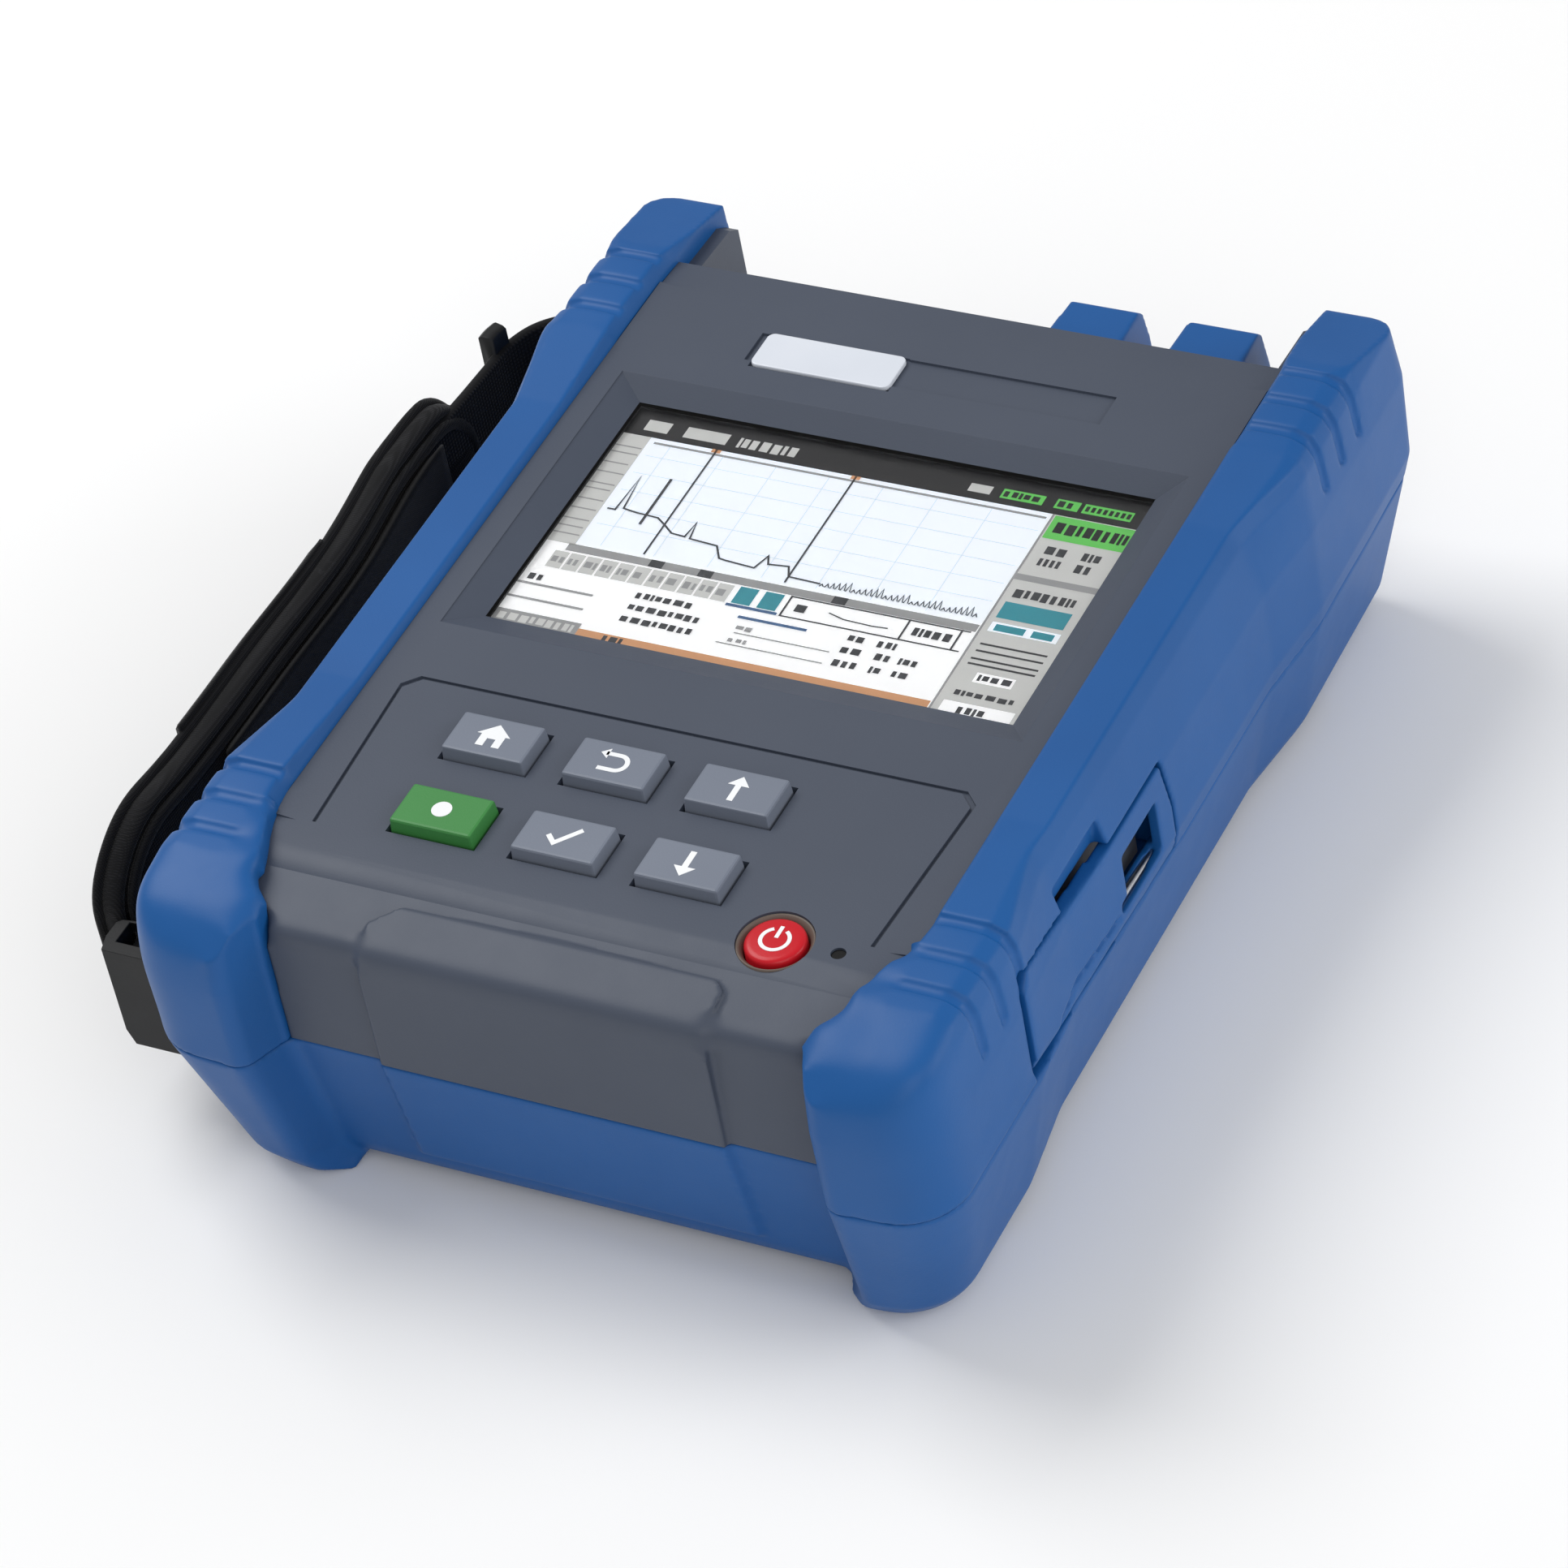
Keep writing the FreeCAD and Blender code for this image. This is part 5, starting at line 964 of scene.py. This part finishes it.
def slab(name, y_ends, z_ends, inner_x, thick, material):
    """A flat cloth layer that follows the pad's bow, with soft edges."""
    count_y, count_z = 48, 16
    verts, faces = [], []
    for face_side in (0, 1):
        for i in range(count_y + 1):
            for k in range(count_z + 1):
                u, v = -1 + 2 * i / count_y, -1 + 2 * k / count_z
                edge = max(abs(u), abs(v))
                y = sum(y_ends) / 2 + u * (y_ends[1] - y_ends[0]) / 2
                z = sum(z_ends) / 2 + v * (z_ends[1] - z_ends[0]) / 2
                soft = thick * (1 - SOFT_SHARE * max(0.0, (edge - SOFT_FROM) / (1 - SOFT_FROM)) ** 2)
                verts.append((pad_x(y) + inner_x - (soft if face_side else 0.0), y, z))
    row = count_z + 1
    plane = row * (count_y + 1)
    for i in range(count_y):
        for k in range(count_z):
            a = i * row + k
            faces.append((a, a + 1, a + row + 1, a + row))
            faces.append((plane + a, plane + a + row, plane + a + row + 1, plane + a + 1))
    border = ([(i, 0) for i in range(count_y)] + [(count_y, k) for k in range(count_z)]
              + [(i, count_z) for i in range(count_y, 0, -1)] + [(0, k) for k in range(count_z, 0, -1)])
    for (i, k), (j, m) in zip(border, border[1:] + border[:1]):
        a, b = i * row + k, j * row + m
        faces.append((a, b, plane + b, plane + a))
    return add_object(name, verts, faces, [material], smooth=True)


def ribbon(name, path, low, high, thick, material):
    """Flat webbing along a smooth path in plan, its width upright, its edges rounded."""
    widths = [(low, 0.55), (low + 0.5 * MM, 1.0), ((low + high) / 2, 1.06), (high - 0.5 * MM, 1.0),
              (high, 0.55)]
    steps = 8
    curve = []
    for i in range(len(path) - 1):
        p0, p1, p2, p3 = (Vector(path[max(0, i - 1)]), Vector(path[i]), Vector(path[i + 1]),
                          Vector(path[min(len(path) - 1, i + 2)]))
        for j in range(steps):
            t = j / steps
            curve.append(0.5 * ((2 * p1) + (p2 - p0) * t + (2 * p0 - 5 * p1 + 4 * p2 - p3) * t * t
                                + (3 * p1 - p0 - 3 * p2 + p3) * t ** 3))
    curve.append(Vector(path[-1]))
    verts = []
    for i, point in enumerate(curve):
        along = (curve[min(i + 1, len(curve) - 1)] - curve[max(i - 1, 0)]).normalized()
        out = Vector((along.y, -along.x))
        for side, order in ((1, widths), (-1, widths[::-1])):
            for z, share in order:
                edge = point + out * (side * thick / 2 * share)
                verts.append((edge.x, edge.y, z))
    around = len(widths) * 2
    faces = band_faces(len(curve), around) + end_caps(len(curve), around)
    return add_object(name, verts, faces, [material], smooth=True)


cushion = pad_body()
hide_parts("strap_pad")
binding = rim_tube("strap_binding_edge", 1.2 * MM, 0.0, 2.4 * MM, 1.3 * MM, BINDING)
outer_binding = rim_tube("strap_outer_edge", 0.6 * MM, -2.9 * MM, 1.1 * MM, 1.5 * MM, BINDING)
inner_binding = rim_tube("strap_inner_edge", 3.4 * MM, 3.0 * MM, 1.0 * MM, 1.3 * MM, BINDING)
sleeve = slab("strap_sleeve", (-52 * MM, 42 * MM), (28 * MM, 55.0 * MM), 6.0 * MM, 2.4 * MM, BINDING)
flap = slab("strap_flap", (-53 * MM, 4 * MM), (26.5 * MM, 60.2 * MM), -3.0 * MM, 2.6 * MM, BINDING)

INWARD, OUTWARD = (1, 0, 0), (-1, 0, 0)
ALONG, UPWARD = (0, 1, 0), (0, 0, 1)
seam_spots = []
for t, side, depth in ((INNER_CHANNELS[0], INWARD, 2.15), (INNER_CHANNELS[1], INWARD, 2.15),
                       (-OUTER_SEAM, OUTWARD, -2.2), (OUTER_SEAM, OUTWARD, -2.2)):
    for number in range(39):
        y = PAD_LOW.y + 9 * MM + number * 3.4 * MM
        top, low = pad_top(y) - PAD_HEM, pad_low(y) + PAD_HEM
        seam_spots.append(((pad_x(y) + depth * MM, y, (top + low) / 2 + t * (top - low) / 2), ALONG, side))
stitches("strap_seams", seam_spots)

FLAP_FACE = 5.5 * MM                # how far the flap's stitches stand out from the pad's middle plane
FLAP_SEAM_Y = (-31.5 * MM, 22.5 * MM)
FLAP_SEAM_Z = (29 * MM, 55 * MM)
flap_spots = []
for z in FLAP_SEAM_Z:
    for number in range(17):
        y = FLAP_SEAM_Y[0] + number * 3.35 * MM
        flap_spots.append(((pad_x(y) - FLAP_FACE, y, z), ALONG, OUTWARD))
for y in FLAP_SEAM_Y:
    for number in range(8):
        flap_spots.append(((pad_x(y) - FLAP_FACE, y, (30.5 + number * 3.3) * MM), UPWARD, OUTWARD))
stitches("strap_flap_seams", flap_spots)

LUG_INSET, WEB_THICK = 3.6 * MM, 1.8 * MM
for end, sign in (("front", -1), ("rear", 1)):
    low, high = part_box(f"{end}_strap_lug")
    bar_x = low.x + 4.0 * MM
    hold = (low.y + LUG_INSET) if sign < 0 else (high.y - LUG_INSET)
    inside = pad_x(0) + 4.2 * MM
    plan = [(bar_x, 0.4, 0), (bar_x, 0.2, 4), (bar_x, -1.2, 11), (inside, 1.2, 20), (inside, 1.1, 34),
            (inside, 0.9, 52)]
    path = [(x + across * MM, hold - sign * along * MM) for x, across, along in plan]
    web = ribbon(f"strap_web_{end}", path, low.z + LUG_INSET, high.z - LUG_INSET, WEB_THICK, WEBBING)
    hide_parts(f"strap_band_{end}")

# The webbing's tail runs round the rear lug and along the pad's inner face, held by a small keeper.
TAIL_PLAN = [(-74.5, 86.5), (-80, 84.5), (-84.5, 80), (-87, 73), (-87.4, 66), (-88, 56), (-89, 44), (-90, 34)]
KEEPER_PLAN = [(-89.0, 70.2), (-88.9, 72.6), (-88.3, 75.0)]
tail = ribbon("strap_tail", [(x * MM, y * MM) for x, y in TAIL_PLAN], 30 * MM, 55.5 * MM, 2.4 * MM, WEBBING)
keeper = ribbon("strap_keeper", [(x * MM, y * MM) for x, y in KEEPER_PLAN], 38 * MM, 59.6 * MM, 3.6 * MM, LUG)

# ---------------------------------------------------------------------------------------------
# Floor, lights, camera
# ---------------------------------------------------------------------------------------------
def floor():
    """A pale floor in metres, wide enough to fill the view."""
    half = 3.0
    corners = [(-half, -half, 0), (half, -half, 0), (half, half, 0), (-half, half, 0)]
    mesh = bpy.data.meshes.new("floor")
    mesh.from_pydata(corners, [], [(0, 1, 2, 3)])
    obj = bpy.data.objects.new("floor", mesh)
    bpy.context.scene.collection.objects.link(obj)
    s = Surface("floor_pale", Roughness=0.9)
    s.shader.inputs["Base Color"].default_value = (0.93, 0.93, 0.93, 1)
    mesh.materials.append(s.material)


def lamp(name, place, aim, size, power):
    """A square area light of a size in metres and a power in watts, turned to its aim."""
    data = bpy.data.lights.new(name, "AREA")
    data.shape = "SQUARE"
    data.size = size
    data.energy = power
    obj = bpy.data.objects.new(name, data)
    bpy.context.scene.collection.objects.link(obj)
    obj.location = place
    obj.rotation_mode = "QUATERNION"
    obj.rotation_quaternion = (Vector(aim) - Vector(place)).to_track_quat("-Z", "Y")


def studio_world(lighting, backdrop):
    """An even white world: one strength lights the object, another shows behind it."""
    world = bpy.data.worlds.new("studio")
    bpy.context.scene.world = world
    world.use_nodes = True
    tree = world.node_tree
    tree.nodes.clear()
    pick = tree.nodes.new("ShaderNodeMixShader")
    for socket, strength in ((pick.inputs[1], lighting), (pick.inputs[2], backdrop)):
        light = tree.nodes.new("ShaderNodeBackground")
        light.inputs["Color"].default_value = (1, 1, 1, 1)
        light.inputs["Strength"].default_value = strength
        tree.links.new(light.outputs[0], socket)
    rays = tree.nodes.new("ShaderNodeLightPath")
    tree.links.new(rays.outputs["Is Camera Ray"], pick.inputs[0])
    out = tree.nodes.new("ShaderNodeOutputWorld")
    tree.links.new(pick.outputs[0], out.inputs["Surface"])


floor()
lamp("key_light", (-0.8, 0.2, 1.25), (0, 0.03, 0.04), 0.9, 13.0)
lamp("fill_light", (0.9, -0.9, 0.9), (0, 0, 0.03), 1.2, 6.0)
lamp("side_light", (1.2, 0.4, 0.5), (0, 0, 0.03), 0.8, 5.0)

studio_world(lighting=0.45, backdrop=1.0)
bpy.context.scene.view_settings.view_transform = "Standard"

CAMERA_PLACE = (0.53315, -0.7806, 0.8588)
CAMERA_RIGHT = Vector((0.8883, 0.4320, -0.1557))
CAMERA_UP = Vector((-0.1901, 0.6547, 0.7314))
CAMERA_AHEAD = Vector((-0.4179, 0.6202, -0.6638))
camera_data = bpy.data.cameras.new("camera")
camera_data.lens = 148.8
camera_data.sensor_width = 36.0
camera = bpy.data.objects.new("camera", camera_data)
bpy.context.scene.collection.objects.link(camera)
camera_turn = Matrix((CAMERA_RIGHT, CAMERA_UP, -CAMERA_AHEAD)).transposed()
camera.matrix_world = Matrix.Translation(CAMERA_PLACE) @ camera_turn.to_4x4()
bpy.context.scene.camera = camera
